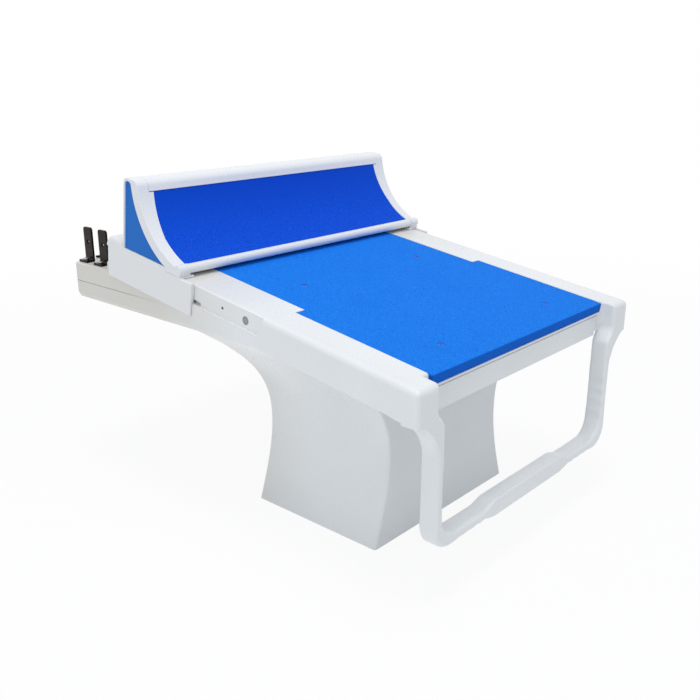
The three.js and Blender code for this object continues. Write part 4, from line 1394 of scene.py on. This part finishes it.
# %% [markdown]
# ## The lock
# A spring pin behind the kick plate drops into the strip in the deck, and a knob lifts it.
# The knob is turned from a profile and its flutes are cut by a ring of rods, as on a lathe
# with a dividing head. The pin and the spring keep their working model.

# %% Lock knob and barrel
pin_axis = deck @ Matrix.Translation((0, lock_run, 0))
knob_base = 44.3
knob_radius = 14
knob_edge = 3.5
knob_top = knob_base + 17
profile = [(0, knob_base), (knob_radius - 3.6, knob_base), (knob_radius - 3, knob_base + 0.6),
           (knob_radius - 3, knob_base + 5), (knob_radius - 2.4, knob_base + 6.5),
           (knob_radius, knob_base + 8.5), (knob_radius, knob_top - knob_edge)]
profile += arc((knob_radius - knob_edge, knob_top - knob_edge), knob_edge, 0, 90, 6)[1:]
profile += [(4, knob_top - 0.5), (0, knob_top - 0.6)]
knob = lathe("lock_grip_knob", profile, pin_axis, 72)
flutes = [
    rod("flute", "z", spot, 2.6, knob_base + 6, knob_top + 5, pin_axis, 20)
    for spot in arc((0, 0), knob_radius + 1.5, 0, 360, 12)[:-1]
]
cut(knob, *flutes)
dress(knob, black_plastic, "black_plastic", "lock_plunger", "lock_knob")

barrel_top = housing_top + 12
profile = [(0, 1.6), (5.3, 1.6), (10.6, 1.6), (11, 2), (11, barrel_top - 1), (10, barrel_top),
           (6, barrel_top), (5.3, barrel_top - 0.7), (0, barrel_top - 0.7)]
barrel = lathe("lock_sleeve", profile, pin_axis)
nut_low = housing_top + part_gap
join(barrel, rod("nut", "z", (0, 0), 17, nut_low, nut_low + 4, pin_axis, 6))
cut(barrel, rod("bore", "z", (0, 0), 5.3, -10, 60, pin_axis, 40),
    rod("chamber", "z", (0, 0), 8.3, 4.6, barrel_top - 4, pin_axis, 40))
dress(barrel, steel, "steel", "kick_plate", "lock_barrel")

# %% [markdown]
# ## Brackets on the rear box
# Two upright black plates with a foot stand on the left of the box, and a thin bar runs along
# its rear edge. Bent sheet has a round at the fold and a clean radius at its top corners.

# %% Brackets and bar
bracket_right = 24 - half_width
bracket_thick = 4
bracket_wide = 25
bracket_tall = 63
bracket_foot = 18
bracket_base = box_top + part_gap
bracket_corner = 5
bend_outer_round = 3.2
bend_inner_round = 2.5
hole_height = 36
hole_radius = 3.8
screw_spot = bracket_right - 11
rear_middle = box_rear - 19
bracket_rows = {"rear": rear_middle, "front": rear_middle - 47}


def bracket(name, middle):
    low, high = middle - bracket_wide / 2, middle + bracket_wide / 2
    top = bracket_base + bracket_tall
    outline = [(low, bracket_base), (high, bracket_base)]
    for edge, start in ((high - bracket_corner, 0), (low + bracket_corner, 90)):
        outline += arc((edge, top - bracket_corner), bracket_corner, start, start + 90, 8)
    blade = prism(name, outline, "x", bracket_right - bracket_thick, bracket_right)
    foot = block("foot", (bracket_right - bracket_foot, low, bracket_base),
                 (bracket_right - bracket_thick / 2, high, bracket_base + bracket_thick))
    join(blade, foot)
    clean(blade)

    def radius(place, on_deck):
        if near(place.x, bracket_right) and near(place.z, bracket_base):
            return bend_outer_round
        inside = near(place.x, bracket_right - bracket_thick)
        fold = inside and near(place.z, bracket_base + bracket_thick)
        return bend_inner_round if fold else 0.5

    soften(blade, radius, 3, True)
    spot = (middle, bracket_base + hole_height)
    cut(blade, rod("hole", "x", spot, hole_radius, -far, far, level, 32),
        rod("screw_hole", "z", (screw_spot, middle), 2.8, 0, far, level, 24))
    return blade


for end, middle in bracket_rows.items():
    dress(bracket(f"angle_bracket_{end}", middle), dark_steel, "dark_steel", "block",
          f"rear_bracket_{end}")
    seat = Matrix.Translation((screw_spot, middle, bracket_base + bracket_thick + 3.3))
    screw = screw_piece(f"bracket_fixing_{end}", seat, 4.5, 3, 2.5, 11, 2.0)
    dress(screw, zinc, "zinc", "block", f"bracket_screw_{end}")

bar_low, bar_high = corners("rear_bar")
bar = block("rear_edge_bar", bar_low, bar_high)
soften(bar, evenly(0.7), 2, True)
dress(bar, dark_steel, "dark_steel", "block", "rear_bar")

# %% [markdown]
# ## Pieces that keep their working model
# The runners, the ribs, the index strip, the lock's pin and spring and the steel inside the
# shells already have their true shape. They only need a finish, so each gets a material.

# %% Finishes for the carried-over pieces
kept = [
    (pale_plastic, ["slide_runner_left", "slide_runner_right", "kick_rib_left", "kick_rib_right"]),
    (steel, ["index_strip", "grip_stud_left", "grip_stud_right", "lock_pin"]),
    (steel, [f"anchor_{kind}_{count}" for kind in ("bolt", "washer") for count in range(1, 5)]),
    (zinc, ["lock_spring", "floor_plate", "frame_column", "frame_beam_left", "frame_beam_right",
            "frame_cross_front", "frame_cross_rear"]),
]
for finish, names in kept:
    for carried in (frame["nodes"][name] for name in names):
        for material_slot in carried.material_slots:
            material_slot.material = finish
        if not carried.material_slots:
            carried.data.materials.append(finish)
    print(finish.name, "on", len(names), "pieces of the working model")
